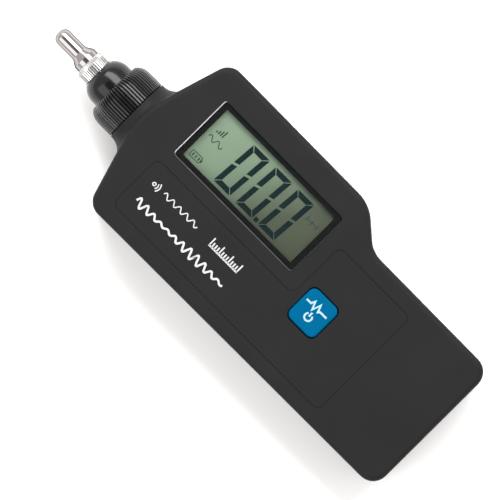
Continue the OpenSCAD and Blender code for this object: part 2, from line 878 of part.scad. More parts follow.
module battery_snap() {
    face_x = battery_x0 - terminal_h;
    color(cable_black)
    difference() {
        union() {
            block([face_x - snap_t, tail_mid_y - snap_half_w, battery_mid_z - snap_half_h],
                  [face_x, tail_mid_y + snap_half_w, battery_mid_z + snap_half_h]);
            for (side = [-1, 1])
                bar_x(cup_r, face_x - slip, face_x + cup_h,
                    tail_mid_y + side * terminal_pitch / 2, battery_mid_z);
        }
        for (side = [-1, 1])
            bar_x(terminal_r + slip, face_x, face_x + 2 * cup_h,
                tail_mid_y + side * terminal_pitch / 2, battery_mid_z);
    }
}

// Wire that leaves along X at height z and bends up to the board
module rising_wire(r, x0, bend_x, bend_r, y, z, toward) {
    bar_x(r, min(x0, bend_x), max(x0, bend_x), y, z);
    translate([bend_x, y, z + bend_r]) rotate([90, 0, 0])
        rotate([0, 0, toward > 0 ? 270 : 180])
            rotate_extrude(angle = 90, $fn = 48) translate([bend_r, 0]) circle(r = r, $fn = 24);
    bar_z(r, [bend_x + toward * bend_r, y], z + bend_r, board_z);
}

lead_r = 0.8;
lead_half_pitch = 3;
lead_bend_r = 2.4;
lead_run = 3;
module battery_leads() {
    start_x = battery_x0 - terminal_h - snap_t;
    color(cable_red)
    for (side = [-1, 1])
        rising_wire(lead_r, start_x, start_x - lead_run, lead_bend_r,
            tail_mid_y + side * lead_half_pitch, battery_mid_z, -1);
}

pad_gap = 0.1;
pad_half_len = 18;
pad_half_w = 10;
module battery_pad() {
    mid_x = (battery_x0 + battery_x1) / 2;
    color(foam_grey)
        block([mid_x - pad_half_len, tail_mid_y - pad_half_w, battery_z + battery_t + pad_gap],
              [mid_x + pad_half_len, tail_mid_y + pad_half_w, board_z]);
}

cross_w = 0.6;
cross_half = 1.3;
cross_depth = 1;
module case_screws() {
    head_z = screw_seat_z - screw_head_h;
    color(steel)
    for (p = screw_places)
        difference() {
            union() {
                bar_z(screw_head_r, p, head_z, screw_seat_z);
                bar_z(screw_r, p, head_z, screw_seat_z + screw_len);
            }
            block([p[0] - cross_half, p[1] - cross_w / 2, head_z - eps],
                  [p[0] + cross_half, p[1] + cross_w / 2, head_z + cross_depth]);
            block([p[0] - cross_w / 2, p[1] - cross_half, head_z - eps],
                  [p[0] + cross_w / 2, p[1] + cross_half, head_z + cross_depth]);
        }
}

// Probe, from the nose out
rib_depth = 0.35;
rib_end_gap = 0.6;
dome_len = 4.3;
dome_steps = 8;
rib_start = 1.5;
rib_foot_share = 0.8;
rib_top_share = 0.36;
collar_base_r = collar_r - rib_depth;
function dome_profile(r) = [for (k = [0:dome_steps]) let (a = 90 * k / dome_steps)
    [collar_rim_r + (r - collar_rim_r) * sin(a), collar_front_x + dome_len * (1 - cos(a))]];

// Outline of a straight-knurled ring: each rib has a foot and a flat top, as shares of the pitch
function knurl(count, r_low, r_high, foot_share, top_share) =
    [for (i = [0:count - 1]) for (side = [[-foot_share, r_low], [-top_share, r_high],
                                          [top_share, r_high], [foot_share, r_low]])
        let (a = 360 * (i + side[0] / 2) / count)
        [side[1] * cos(a), side[1] * sin(a)]];

module knurled_collar() {
    rim_x = nose_x - rib_end_gap;
    color(gloss_black)
    difference() {
        union() {
            lathe(concat([[0, collar_front_x]], dome_profile(collar_base_r),
                [[collar_base_r, nose_x], [0, nose_x]]));
            intersection() {
                translate([collar_front_x + rib_start, 0, axis_z]) rotate([0, 90, 0])
                    linear_extrude(height = rim_x - collar_front_x - rib_start)
                        polygon(knurl(collar_ribs, collar_base_r - rib_depth, collar_r,
                            rib_foot_share, rib_top_share));
                lathe(concat([[0, collar_front_x]], dome_profile(collar_r),
                    [[collar_r, nose_x], [0, nose_x]]));
            }
        }
        bar_x(sleeve_r + slip, collar_front_x - eps, nose_x + eps);
    }
}

flange_r = 11;
pickup_r = 5.5;
sleeve_mid_r = 7.7;
sleeve_ring_back = 2.1;
sleeve_curve_back = 4.2;
seal_back = 3;
seal_groove_w = 1.4;
seal_r = 0.55;
seal_groove_r = sleeve_r + slip - 2 * seal_r - 2 * slip;

module nose_sleeve() {
    mid_x = sleeve_front_x + sleeve_ring_back;
    full_x = sleeve_front_x + sleeve_curve_back;
    seal_x = nose_x + seal_back;
    soften = 0.4;
    color(gloss_black)
        lathe([
            [pickup_r + slip, sleeve_front_x],
            [nut_r - soften, sleeve_front_x],
            [nut_r, sleeve_front_x + soften],
            [(nut_r + sleeve_mid_r) / 2 + soften / 2, (sleeve_front_x + mid_x) / 2],
            [sleeve_mid_r, mid_x],
            [(sleeve_mid_r + sleeve_r) / 2 + soften / 2, (mid_x + full_x) / 2],
            [sleeve_r, full_x],
            [sleeve_r, seal_x - seal_groove_w / 2],
            [seal_groove_r, seal_x - seal_groove_w / 2],
            [seal_groove_r, seal_x + seal_groove_w / 2],
            [sleeve_r, seal_x + seal_groove_w / 2],
            [sleeve_r, nose_inner_x],
            [flange_r, nose_inner_x],
            [flange_r, sleeve_back_x],
            [pickup_r + slip, sleeve_back_x]
        ]);
}

module sleeve_seal() {
    color(deep_black)
        translate([nose_x + seal_back, 0, axis_z]) rotate([0, 90, 0])
            rotate_extrude($fn = 96) translate([seal_groove_r + slip + seal_r, 0])
                circle(r = seal_r, $fn = 24);
}

stud_r = 2.5;
stud_len = 6.5;
pickup_bore_r = 4.5;
pickup_front_t = 2;
pickup_flange_r = 7.5;
stack_hole_depth = 1.3;
stack_screw_r = 1.2;
stack_x = sleeve_front_x + pickup_front_t;

module pickup_housing() {
    color(steel)
        lathe([
            [0, sleeve_front_x - stud_len],
            [stud_r, sleeve_front_x - stud_len],
            [stud_r, sleeve_front_x],
            [pickup_r, sleeve_front_x],
            [pickup_r, sleeve_back_x],
            [pickup_flange_r, sleeve_back_x],
            [pickup_flange_r, pickup_back_x],
            [pickup_bore_r, pickup_back_x],
            [pickup_bore_r, stack_x],
            [stack_screw_r + slip, stack_x],
            [stack_screw_r + slip, stack_x - stack_hole_depth],
            [0, stack_x - stack_hole_depth]
        ]);
}

module pickup_cap() {
    color(steel)
    difference() {
        bar_x(pickup_flange_r, pickup_back_x, pickup_back_x + pickup_cap_t);
        bar_x(cable_r + slip, pickup_back_x - eps, pickup_back_x + pickup_cap_t + eps);
    }
}

piezo_r = 3.9;
piezo_t = 0.8;
mass_r = 4;
mass_len = 9;
module ring_x(r, hole_r, x0, x1) {
    difference() {
        bar_x(r, x0, x1);
        bar_x(hole_r, x0 - eps, x1 + eps);
    }
}

foil_gap = 0.05;
module piezo_rings() {
    color(ceramic) {
        ring_x(piezo_r, stack_screw_r + slip, stack_x, stack_x + piezo_t);
        ring_x(piezo_r, stack_screw_r + slip, stack_x + piezo_t + foil_gap, stack_x + 2 * piezo_t + foil_gap);
    }
}

mass_x = stack_x + 2 * piezo_t + foil_gap;
module seismic_mass() {
    color(brass) ring_x(mass_r, stack_screw_r + slip, mass_x, mass_x + mass_len);
}

stack_head_r = 2.2;
stack_head_t = 1.8;
module stack_screw() {
    color(steel) {
        bar_x(stack_head_r, mass_x + mass_len, mass_x + mass_len + stack_head_t);
        bar_x(stack_screw_r, stack_x - stack_hole_depth + slip, mass_x + mass_len + slip);
    }
}

cable_in = 3;
cable_run = 6.5;
module signal_cable() {
    start_x = pickup_back_x - cable_in;
    color(cable_black)
        rising_wire(cable_r, start_x, pickup_back_x + cable_run, cable_bend_r, 0, axis_z, 1);
}

nut_chamfer_len = 1.7;
nut_chamfer_r = 4.9;
nut_tooth = 0.22;
nut_step = 0.15;
tooth_foot_share = 0.9;
tooth_top_share = 0.2;
spigot_r = 4;
spigot_len = 4;
module tip_nut() {
    color(silver)
    difference() {
        intersection() {
            translate([nut_front_x, 0, axis_z]) rotate([0, 90, 0])
                linear_extrude(height = nut_len)
                    polygon(knurl(nut_teeth, nut_r - nut_tooth, nut_r, tooth_foot_share, tooth_top_share));
            lathe([
                [0, nut_front_x],
                [nut_chamfer_r, nut_front_x],
                [nut_r - nut_tooth - nut_step, nut_front_x + nut_chamfer_len],
                [nut_r + nut_tooth, nut_front_x + nut_chamfer_len],
                [nut_r + nut_tooth, nut_back_x],
                [0, nut_back_x]
            ]);
        }
        bar_x(spigot_r + slip, nut_front_x - eps, nut_back_x + eps);
    }
}

tip_round_r = 2.5;
round_steps = 8;
module probe_tip() {
    cone_x = nut_front_x - tip_base_len;
    rod_x = cone_x - tip_cone_len;
    color(chrome)
    difference() {
        lathe(concat(
            [[0, tip_end_x]],
            [for (k = [0:round_steps]) let (a = 90 * k / round_steps)
                [tip_r - tip_round_r * (1 - sin(a)), tip_end_x + tip_round_r * (1 - cos(a))]],
            [
                [tip_r, rod_x],
                [tip_base_r, cone_x],
                [tip_base_r, nut_front_x],
                [spigot_r, nut_front_x],
                [spigot_r, nut_front_x + spigot_len],
                [0, nut_front_x + spigot_len]
            ]));
        bar_x(stud_r + slip, sleeve_front_x - stud_len - 2 * gap, nut_front_x + spigot_len + eps);
    }
}

front_shell();
rear_shell();
battery_door();
display_lens();
display_bezel();
lcd_glass();
lcd_rear_glass();
lcd_reflector();
contact_strips();
face_overlay();
measure_button();
button_plunger();
button_switch();
main_board();
board_chips();
board_capacitors();
trim_pots();
board_crystal();
board_screws();
mode_switch();
mode_knob();
range_switch();
range_knob();
output_jack();
battery();
battery_snap();
battery_leads();
battery_pad();
case_screws();
knurled_collar();
nose_sleeve();
sleeve_seal();
pickup_housing();
pickup_cap();
piezo_rings();
seismic_mass();
stack_screw();
signal_cable();
tip_nut();
probe_tip();
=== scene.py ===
import math

import bpy
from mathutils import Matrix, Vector


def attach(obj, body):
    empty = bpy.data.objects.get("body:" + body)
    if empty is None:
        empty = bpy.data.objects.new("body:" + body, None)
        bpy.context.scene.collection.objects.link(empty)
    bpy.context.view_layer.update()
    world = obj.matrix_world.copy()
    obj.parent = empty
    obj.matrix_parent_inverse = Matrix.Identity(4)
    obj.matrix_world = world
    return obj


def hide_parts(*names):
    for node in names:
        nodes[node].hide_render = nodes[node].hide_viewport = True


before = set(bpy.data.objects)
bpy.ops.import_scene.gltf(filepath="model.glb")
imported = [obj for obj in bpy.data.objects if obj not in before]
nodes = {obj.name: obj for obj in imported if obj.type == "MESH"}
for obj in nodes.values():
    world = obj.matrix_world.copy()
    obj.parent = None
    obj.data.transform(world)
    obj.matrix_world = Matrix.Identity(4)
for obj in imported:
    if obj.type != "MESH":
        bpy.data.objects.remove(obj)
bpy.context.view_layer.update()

mm = 0.001    # sizes below are in mm, the scene is in metres
near = 0.01    # heights this close count as one
axisZ = 15.0    # probe line above the back face
tailMidY = -5.29    # middle of the tail across


# working in Blender: selection, edit mode, modifiers

def clearSelection():
    if bpy.context.object and bpy.context.object.mode != "OBJECT":
        bpy.ops.object.mode_set(mode="OBJECT")
    bpy.ops.object.select_all(action="DESELECT")


def makeActive(obj):
    clearSelection()
    obj.select_set(True)
    bpy.context.view_layer.objects.active = obj


def editMode(obj, kind):
    makeActive(obj)
    bpy.ops.object.mode_set(mode="EDIT")
    bpy.ops.mesh.select_mode(type=kind)


def objectMode():
    bpy.ops.object.mode_set(mode="OBJECT")


def dropSelection(mesh):
    for parts in (mesh.polygons, mesh.edges, mesh.vertices):
        for part in parts:
            part.select = False


def selectFaces(obj, rule):    # the rule reads a face's centre and normal
    editMode(obj, "FACE")
    objectMode()
    dropSelection(obj.data)
    for face in obj.data.polygons:
        face.select = bool(rule(face.center / mm, face.normal))
    bpy.ops.object.mode_set(mode="EDIT")


def selectEdges(obj, rule, among=None):    # the rule reads an edge's two ends
    editMode(obj, "EDGE")
    objectMode()
    dropSelection(obj.data)
    points = [v.co / mm for v in obj.data.vertices]
    for edge in obj.data.edges:
        start, end = (points[i] for i in edge.vertices)
        edge.select = bool(rule(start, end)) and (among is None or edge.key in among)
    bpy.ops.object.mode_set(mode="EDIT")


def bevelEdges(width, segments):
    bpy.ops.mesh.bevel(offset=width * mm, offset_type="OFFSET", segments=segments, affect="EDGES")


def extrudeBy(move):
    bpy.ops.mesh.extrude_region_move(TRANSFORM_OT_translate={"value": move})


def settle(obj):    # place, turn and size go into the mesh
    makeActive(obj)
    bpy.ops.object.transform_apply(location=True, rotation=True, scale=True)


def applyModifiers(obj):
    makeActive(obj)
    for modifier in list(obj.modifiers):
        bpy.ops.object.modifier_apply(modifier=modifier.name)


def cleanMesh(obj, distance=0.0005):
    editMode(obj, "VERT")
    bpy.ops.mesh.select_all(action="SELECT")
    bpy.ops.mesh.remove_doubles(threshold=distance * mm)
    bpy.ops.mesh.normals_make_consistent(inside=False)
    objectMode()


def smoothEdges(obj, degrees):
    makeActive(obj)
    bpy.ops.object.shade_smooth_by_angle(angle=math.radians(degrees))


def evenNormals(obj):    # large flat faces stay flat beside their rounded edges
    makeActive(obj)
    bpy.ops.object.modifier_add(type="WEIGHTED_NORMAL")
    obj.modifiers[-1].keep_sharp = True
    applyModifiers(obj)


def cutAway(obj, cutter):
    makeActive(obj)
    bpy.ops.object.modifier_add(type="BOOLEAN")
    cut = obj.modifiers[-1]
    cut.operation = "DIFFERENCE"
    cut.solver = "EXACT"
    cut.object = cutter
    applyModifiers(obj)
    clearSelection()
    cutter.select_set(True)
    bpy.ops.object.delete()


def joinPieces(name, parts):
    makeActive(parts[0])
    for part in parts:
        part.select_set(True)
    bpy.ops.object.join()
    obj = bpy.context.object
    obj.name = name
    return obj


def placePiece(obj, place, turned=0):
    obj.rotation_euler = (0, 0, math.radians(turned))
    obj.location = (place[0] * mm, place[1] * mm, 0)
    settle(obj)


def copyPiece(obj, place, turned=0):
    makeActive(obj)
    bpy.ops.object.duplicate(linked=False)
    twin = bpy.context.object
    placePiece(twin, place, turned)
    return twin


def copyOfNode(name, node):    # a node's loose triangles are merged in the copy
    clearSelection()
    obj = bpy.data.objects.new(name, nodes[node].data.copy())
    bpy.context.scene.collection.objects.link(obj)
    editMode(obj, "VERT")
    bpy.ops.mesh.select_all(action="SELECT")
    bpy.ops.mesh.customdata_custom_splitnormals_clear()
    bpy.ops.mesh.remove_doubles(threshold=0.002 * mm)
    objectMode()
    return obj


def paint(obj, material):
    obj.data.materials.clear()
    obj.data.materials.append(material)


def finishPiece(obj, body, material, stands=()):
    paint(obj, material)
    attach(obj, body)
    if stands:
        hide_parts(*stands)
    return obj


# shapes that several pieces share

def addBox(name, low, high):
    middle = [(a + b) / 2 * mm for a, b in zip(low, high)]
    clearSelection()
    bpy.ops.mesh.primitive_cube_add(size=1, location=middle)
    obj = bpy.context.object
    obj.name = name
    obj.scale = [(b - a) * mm for a, b in zip(low, high)]
    settle(obj)
    return obj


def roundBox(name, low, high, cornerR, cornerSteps, rimR=0, rimSteps=2):
    obj = addBox(name, low, high)
    selectEdges(obj, lambda a, b: abs(a.z - b.z) > near)
    bevelEdges(cornerR, cornerSteps)
    if rimR:
        selectEdges(obj, lambda a, b: min(a.z, b.z) > high[2] - near)
        bevelEdges(rimR, rimSteps)
    objectMode()
    return obj


def plateOf(name, outline, low, high):
    clearSelection()
    bpy.ops.mesh.primitive_circle_add(vertices=len(outline), radius=mm, fill_type="NGON")
    obj = bpy.context.object
    obj.name = name
    for vert, (x, y) in zip(obj.data.vertices, outline):
        vert.co = (x * mm, y * mm, low * mm)
    editMode(obj, "FACE")
    bpy.ops.mesh.select_all(action="SELECT")
    extrudeBy((0, 0, (high - low) * mm))
    bpy.ops.mesh.select_all(action="SELECT")
    bpy.ops.mesh.normals_make_consistent(inside=False)
    objectMode()
    return obj


def strokeOutline(path, width):
    sharpest = 0.45    # limits how far the outline reaches out at a sharp corner
    leftSide, rightSide = [], []
    for i, point in enumerate(path):
        back = Vector(path[max(i - 1, 0)])
        ahead = Vector(path[min(i + 1, len(path) - 1)])
        here = Vector(point)
        before = (here - back).normalized() if i else (ahead - here).normalized()
        after = (ahead - here).normalized() if i < len(path) - 1 else before
        side = before + after
        side = Vector((-side.y, side.x)).normalized()
        reach = width / 2 / max(side.dot(Vector((-before.y, before.x))), sharpest)
        leftSide.append(here + side * reach)
        rightSide.append(here - side * reach)
    return [tuple(p) for p in leftSide + rightSide[::-1]]


def strokePlate(path, width, low, high):
    return plateOf("stroke", strokeOutline(path, width), low, high)


def arcPath(centre, radius, fromDegrees, toDegrees, steps):
    path = []
    for k in range(steps + 1):
        a = math.radians(fromDegrees + (toDegrees - fromDegrees) * k / steps)
        path.append((centre[0] + radius * math.cos(a), centre[1] + radius * math.sin(a)))
    return path


def wavePath(fromX, toX, midY, steps, height):    # height reads the share of the way
    shares = [k / steps for k in range(steps + 1)]
    return [(fromX + (toX - fromX) * share, midY + height(share)) for share in shares]


def swing(share, waves):
    return math.sin(share * 2 * math.pi * waves)


def softCorners(points, steps):    # each point is x, radius and the rounding of its corner
    most = 0.49    # share of a side that one rounding may take
    rounded = []
    for i, (x, r, fillet) in enumerate(points):
        here = Vector((x, r))
        if fillet <= 0 or i in (0, len(points) - 1):
            rounded.append((x, r))
            continue
        back = Vector(points[i - 1][:2]) - here
        ahead = Vector(points[i + 1][:2]) - here
        reach = min(fillet / math.tan(back.angle(ahead) / 2),
                    back.length * most, ahead.length * most)
        start, end = here + back.normalized() * reach, here + ahead.normalized() * reach
        for k in range(steps + 1):
            share = k / steps
            p = start.lerp(here, share).lerp(here.lerp(end, share), share)
            rounded.append((p.x, p.y))
    return rounded


def turnPiece(name, profile, steps, closed=False, at=(0.0, axisZ), upright=False):
    if upright:    # about a line along z, the profile gives radius and height
        points = [Vector(((at[0] + r) * mm, at[1] * mm, z * mm)) for r, z in profile]
        centre, axis = (at[0] * mm, at[1] * mm, 0), (0, 0, 1)
    else:    # about a line along x, the profile gives x and radius
        points = [Vector((x * mm, at[0] * mm, (at[1] + r) * mm)) for x, r in profile]
        centre, axis = (0, at[0] * mm, at[1] * mm), (1, 0, 0)
    if closed:
        points.append(points[0])
    clearSelection()
    bpy.ops.mesh.primitive_plane_add(size=mm, location=points[0])
    obj = bpy.context.object
    obj.name = name
    settle(obj)
    editMode(obj, "VERT")
    bpy.ops.mesh.select_all(action="SELECT")
    bpy.ops.mesh.merge(type="CENTER")
    for here, there in zip(points, points[1:]):
        extrudeBy(there - here)
    bpy.ops.mesh.select_all(action="SELECT")
    bpy.ops.mesh.spin(steps=steps, angle=2 * math.pi, center=centre, axis=axis)
    objectMode()
    cleanMesh(obj, 0.002)
    return obj


def raiseColumns(obj, knurl):    # columns of faces along x, pushed out in turn round the piece
    step = 2 * math.pi / (knurl["count"] * knurl["columns"])

    def onRib(centre, normal):
        across, up = centre.y, centre.z - axisZ
        if not knurl["from"] < centre.x < knurl["to"] or math.hypot(across, up) < knurl["above"]:
            return False
        return math.floor(math.atan2(across, up) / step) % knurl["columns"] in knurl["raised"]

    selectFaces(obj, onRib)
    bpy.ops.transform.shrink_fatten(value=knurl["up"] * mm)
    objectMode()


# materials

def newMaterial(name):
    material = bpy.data.materials.new(name)
    material.use_nodes = True
    tree = material.node_tree
    shader = tree.nodes["Principled BSDF"]
    place = tree.nodes.new("ShaderNodeTexCoord")
    return material, tree, shader, place.outputs["Object"]


def addNoise(tree, place, scale, detail=3, rough=0.55, stretch=None):
    if stretch:
        mapping = tree.nodes.new("ShaderNodeMapping")
        mapping.inputs["Scale"].default_value = stretch
        tree.links.new(place, mapping.inputs["Vector"])
        place = mapping.outputs["Vector"]
    noise = tree.nodes.new("ShaderNodeTexNoise")
    noise.inputs["Scale"].default_value = scale
    noise.inputs["Detail"].default_value = detail
    noise.inputs["Roughness"].default_value = rough
    tree.links.new(place, noise.inputs["Vector"])
    return noise.outputs["Fac"]


def addRamp(tree, value, stops):
    ramp = tree.nodes.new("ShaderNodeValToRGB")
    while len(ramp.color_ramp.elements) < len(stops):
        ramp.color_ramp.elements.new(0.5)
    for element, (at, colour) in zip(ramp.color_ramp.elements, stops):
        element.position = at
        element.color = (*colour, 1)
    tree.links.new(value, ramp.inputs["Fac"])
    return ramp.outputs["Color"]


def addRange(tree, value, low, high, fromLow=0.3, fromHigh=0.7):
    spread = tree.nodes.new("ShaderNodeMapRange")
    spread.inputs["From Min"].default_value = fromLow
    spread.inputs["From Max"].default_value = fromHigh
    spread.inputs["To Min"].default_value = low
    spread.inputs["To Max"].default_value = high
    tree.links.new(value, spread.inputs["Value"])
    return spread.outputs["Result"]


def addMath(tree, operation, first, second):
    result = tree.nodes.new("ShaderNodeMath")
    result.operation = operation
    tree.links.new(first, result.inputs[0])
    tree.links.new(second, result.inputs[1])
    return result.outputs["Value"]


def splitPlace(tree, place):
    split = tree.nodes.new("ShaderNodeSeparateXYZ")
    tree.links.new(place, split.inputs["Vector"])
    return split.outputs


def addBump(tree, shader, height, depth):
    bump = tree.nodes.new("ShaderNodeBump")
    bump.inputs["Strength"].default_value = 1.0
    bump.inputs["Distance"].default_value = depth * mm
    tree.links.new(height, bump.inputs["Height"])
    tree.links.new(bump.outputs["Normal"], shader.inputs["Normal"])


def colourBy(tree, shader, value, stops):
    tree.links.new(addRamp(tree, value, stops), shader.inputs["Base Color"])


def mottle(tree, shader, value, dark, light):
    colourBy(tree, shader, value, [(0.3, dark), (0.7, light)])


def roughBy(tree, shader, value, low, high):
    tree.links.new(addRange(tree, value, low, high), shader.inputs["Roughness"])


def mouldedPlastic(name, dark, light, rough, grain=0.35, grainDepth=0.012, spec=0.4, cloud=45):
    material, tree, shader, place = newMaterial(name)
    mottle(tree, shader, addNoise(tree, place, cloud, 4), dark, light)
    roughBy(tree, shader, addNoise(tree, place, cloud * 2.2, 2), rough - 0.03, rough + 0.04)
    shader.inputs["Specular IOR Level"].default_value = spec
    addBump(tree, shader, addNoise(tree, place, 1000 / grain, 2, 0.6), grainDepth)
    return material


def metalFinish(name, dark, light, rough, spread=0.05, stretch=(1, 1, 1), lines=900, depth=0.004):
    material, tree, shader, place = newMaterial(name)
    shader.inputs["Metallic"].default_value = 1.0
    mottle(tree, shader, addNoise(tree, place, 60), dark, light)
    brushed = addNoise(tree, place, lines, 3, 0.6, stretch)
    roughBy(tree, shader, brushed, rough - spread, rough + spread)
    addBump(tree, shader, brushed, depth)
    return material


print("camera and light")
view = {"over": (5.95, -5.99), "turn": 45.2, "away": 1800.0, "span": 168.8, "face": 30.0,
        "sensor": 36}
bpy.ops.object.camera_add(
    location=(view["over"][0] * mm, view["over"][1] * mm, (view["face"] + view["away"]) * mm),
    rotation=(0, 0, math.radians(view["turn"])))
camera = bpy.context.object
camera.name = "photoCamera"
camera.data.sensor_width = view["sensor"]
camera.data.lens = view["sensor"] * view["away"] / view["span"]
camera.data.clip_start = 0.01
camera.data.clip_end = 20
bpy.context.scene.camera = camera

# places and sizes of the studio are in metres
studio = {"tent": 1.1, "wall": (1.0, 0.985, 0.975), "wallAt": 0.91,
          "overhead": (0.27, 0.27, 0.27), "overheadAt": 0.975, "opening": (0, -0.09, 0.996),
          "floor": (0.88, 0.88, 0.88), "floorCloud": (0.90, 0.90, 0.90), "floorSize": 6,
          "floorZ": -0.0002}
softboxes = {
    "keySoftbox": {"power": 40.0, "size": (2.2, 0.7), "place": (-0.95, 0.68, 1.0),
                   "aim": (-0.95, 0, 0), "colour": (1.0, 1.0, 1.0)},
    "fillSoftbox": {"power": 8.0, "size": (1.6, 0.9), "place": (0, -0.85, 0.95),
                    "aim": (0, 0, 0), "colour": (1.0, 0.96, 0.95)},
}
world = bpy.data.worlds.new("lightTent")
world.use_nodes = True
tree = world.node_tree
towards = tree.nodes.new("ShaderNodeVectorMath")    # the opening overhead is darker than the walls
towards.operation = "DOT_PRODUCT"
towards.inputs[1].default_value = studio["opening"]
heading = tree.nodes.new("ShaderNodeTexCoord").outputs["Generated"]
tree.links.new(heading, towards.inputs[0])
tent = addRamp(tree, towards.outputs["Value"], [(studio["wallAt"], studio["wall"]),
                                                (studio["overheadAt"], studio["overhead"])])
tree.links.new(tent, tree.nodes["Background"].inputs["Color"])
tree.nodes["Background"].inputs["Strength"].default_value = studio["tent"]
bpy.context.scene.world = world

for name, box in softboxes.items():
    bpy.ops.object.light_add(type="AREA", location=box["place"])
    light = bpy.context.object
    light.name = name
    light.data.shape = "RECTANGLE"
    light.data.size, light.data.size_y = box["size"]
    light.data.energy = box["power"]
    light.data.color = box["colour"]
    direction = Vector(box["aim"]) - Vector(box["place"])
    light.rotation_euler = direction.to_track_quat("-Z", "Y").to_euler()

bpy.context.scene.view_settings.view_transform = "Standard"
bpy.context.scene.view_settings.look = "None"

print("floor")
clearSelection()
bpy.ops.mesh.primitive_plane_add(size=studio["floorSize"], location=(0, 0, studio["floorZ"]))
floor = bpy.context.object
floor.name = "studioFloor"
floorPaint, tree, shader, place = newMaterial("palePaper")
mottle(tree, shader, addNoise(tree, place, 12), studio["floor"], studio["floorCloud"])
shader.inputs["Roughness"].default_value = 0.9
shader.inputs["Specular IOR Level"].default_value = 0.1
paint(floor, floorPaint)

print("materials")
casePlastic = mouldedPlastic("casePlastic", (0.0113, 0.0113, 0.0115), (0.0130, 0.0130, 0.0132), 0.5,
                             spec=0.07)
overlayFilm = mouldedPlastic("overlayFilm", (0.0116, 0.0116, 0.0118), (0.0128, 0.0128, 0.0130),
                             0.48, grain=0.25, grainDepth=0.006, spec=0.07)
glossBlack = mouldedPlastic("glossBlack", (0.0022, 0.0022, 0.0024), (0.0030, 0.0030, 0.0033), 0.16,
                            grain=0.9, grainDepth=0.001, spec=0.32)
collarBlack = mouldedPlastic("collarBlack", (0.0028, 0.0030, 0.0034), (0.0040, 0.0042, 0.0046),
                             0.22, grain=0.5, grainDepth=0.003, spec=0.36)
frameBlack = mouldedPlastic("frameBlack", (0.0010, 0.0012, 0.0012), (0.0014, 0.0016, 0.0016), 0.4,
                            grain=0.3, grainDepth=0.0002, spec=0.12)
knobBlack = mouldedPlastic("knobBlack", (0.010, 0.010, 0.011), (0.014, 0.014, 0.015), 0.42)
buttonBlue = mouldedPlastic("buttonBlue", (0.0001, 0.073, 0.164), (0.0002, 0.082, 0.184), 0.5,
                            grain=0.3, grainDepth=0.003, spec=0.01)
boardGreen = mouldedPlastic("boardGreen", (0.010, 0.075, 0.035), (0.016, 0.10, 0.05), 0.35,
                            grain=0.6, grainDepth=0.01, spec=0.5, cloud=120)
chipBlack = mouldedPlastic("chipBlack", (0.012, 0.012, 0.013), (0.02, 0.02, 0.02), 0.6,
                           grain=0.2, grainDepth=0.01, spec=0.3, cloud=200)
potBlue = mouldedPlastic("potBlue", (0.02, 0.09, 0.28), (0.03, 0.12, 0.33), 0.35,
                         grain=0.4, grainDepth=0.008, spec=0.5, cloud=200)
leadRed = mouldedPlastic("leadRed", (0.35, 0.02, 0.015), (0.42, 0.03, 0.02), 0.4,
                         grain=0.5, grainDepth=0.01, cloud=150)
cableBlack = mouldedPlastic("cableBlack", (0.012, 0.012, 0.013), (0.018, 0.018, 0.019), 0.5,
                            grain=0.4, grainDepth=0.01, cloud=150)
foamGrey = mouldedPlastic("foamGrey", (0.09, 0.09, 0.09), (0.14, 0.14, 0.14), 0.95,
                          grain=0.6, grainDepth=0.12, spec=0.1, cloud=400)
rubberGrey = mouldedPlastic("rubberGrey", (0.25, 0.25, 0.27), (0.3, 0.3, 0.32), 0.8,
                            grain=0.4, grainDepth=0.01, spec=0.2, cloud=200)
ceramicWhite = mouldedPlastic("ceramicWhite", (0.72, 0.68, 0.6), (0.8, 0.77, 0.7), 0.5,
                              grain=0.3, grainDepth=0.01, cloud=200)
batteryWrap = mouldedPlastic("batteryWrap", (0.010, 0.011, 0.013), (0.015, 0.016, 0.018), 0.3,
                             grain=0.4, grainDepth=0.003, spec=0.5, cloud=120)
lcdRear = mouldedPlastic("lcdRear", (0.3, 0.38, 0.3), (0.34, 0.42, 0.33), 0.3,
                         grain=0.5, grainDepth=0.002)
segmentInk = mouldedPlastic("segmentInk", (0.004, 0.014, 0.015), (0.006, 0.018, 0.019), 0.5,
                            grain=0.4, grainDepth=0.002, spec=0.05, cloud=300)
signInk = mouldedPlastic("signInk", (0.035, 0.055, 0.05), (0.045, 0.07, 0.06), 0.5,
                         grain=0.4, grainDepth=0.002, spec=0.05, cloud=300)
printWhite = mouldedPlastic("printWhite", (0.40, 0.40, 0.40), (0.46, 0.46, 0.46), 0.5,
                            grain=0.3, grainDepth=0.002, spec=0.2, cloud=250)
printPale = mouldedPlastic("printPale", (0.26, 0.40, 0.44), (0.30, 0.45, 0.50), 0.5,
                           grain=0.3, grainDepth=0.002, spec=0.2, cloud=250)
screwSteel = metalFinish("screwSteel", (0.42, 0.42, 0.43), (0.52, 0.52, 0.53), 0.28)
tinMetal = metalFinish("tinMetal", (0.52, 0.52, 0.52), (0.62, 0.62, 0.62), 0.32)
pickupSteel = metalFinish("pickupSteel", (0.5, 0.5, 0.5), (0.58, 0.58, 0.58), 0.25)
massBrass = metalFinish("massBrass", (0.6, 0.44, 0.18), (0.68, 0.5, 0.22), 0.28)
batteryCan = metalFinish("batteryCan", (0.36, 0.37, 0.4), (0.44, 0.45, 0.48), 0.35)
batteryBand = metalFinish("batteryBand", (0.50, 0.30, 0.14), (0.58, 0.36, 0.18), 0.3)
reflectorFoil = metalFinish("reflectorFoil", (0.62, 0.64, 0.62), (0.7, 0.72, 0.7), 0.4)
tipChrome = metalFinish("tipChrome", (0.32, 0.302, 0.298), (0.36, 0.338, 0.333), 0.1,
                        spread=0.03, stretch=(0.15, 1, 1), lines=1400, depth=0.002)
tipShader = tipChrome.node_tree.nodes["Principled BSDF"]
tipShader.inputs["Specular Tint"].default_value = (0.02, 0.02, 0.015, 1)    # dark towards its edges

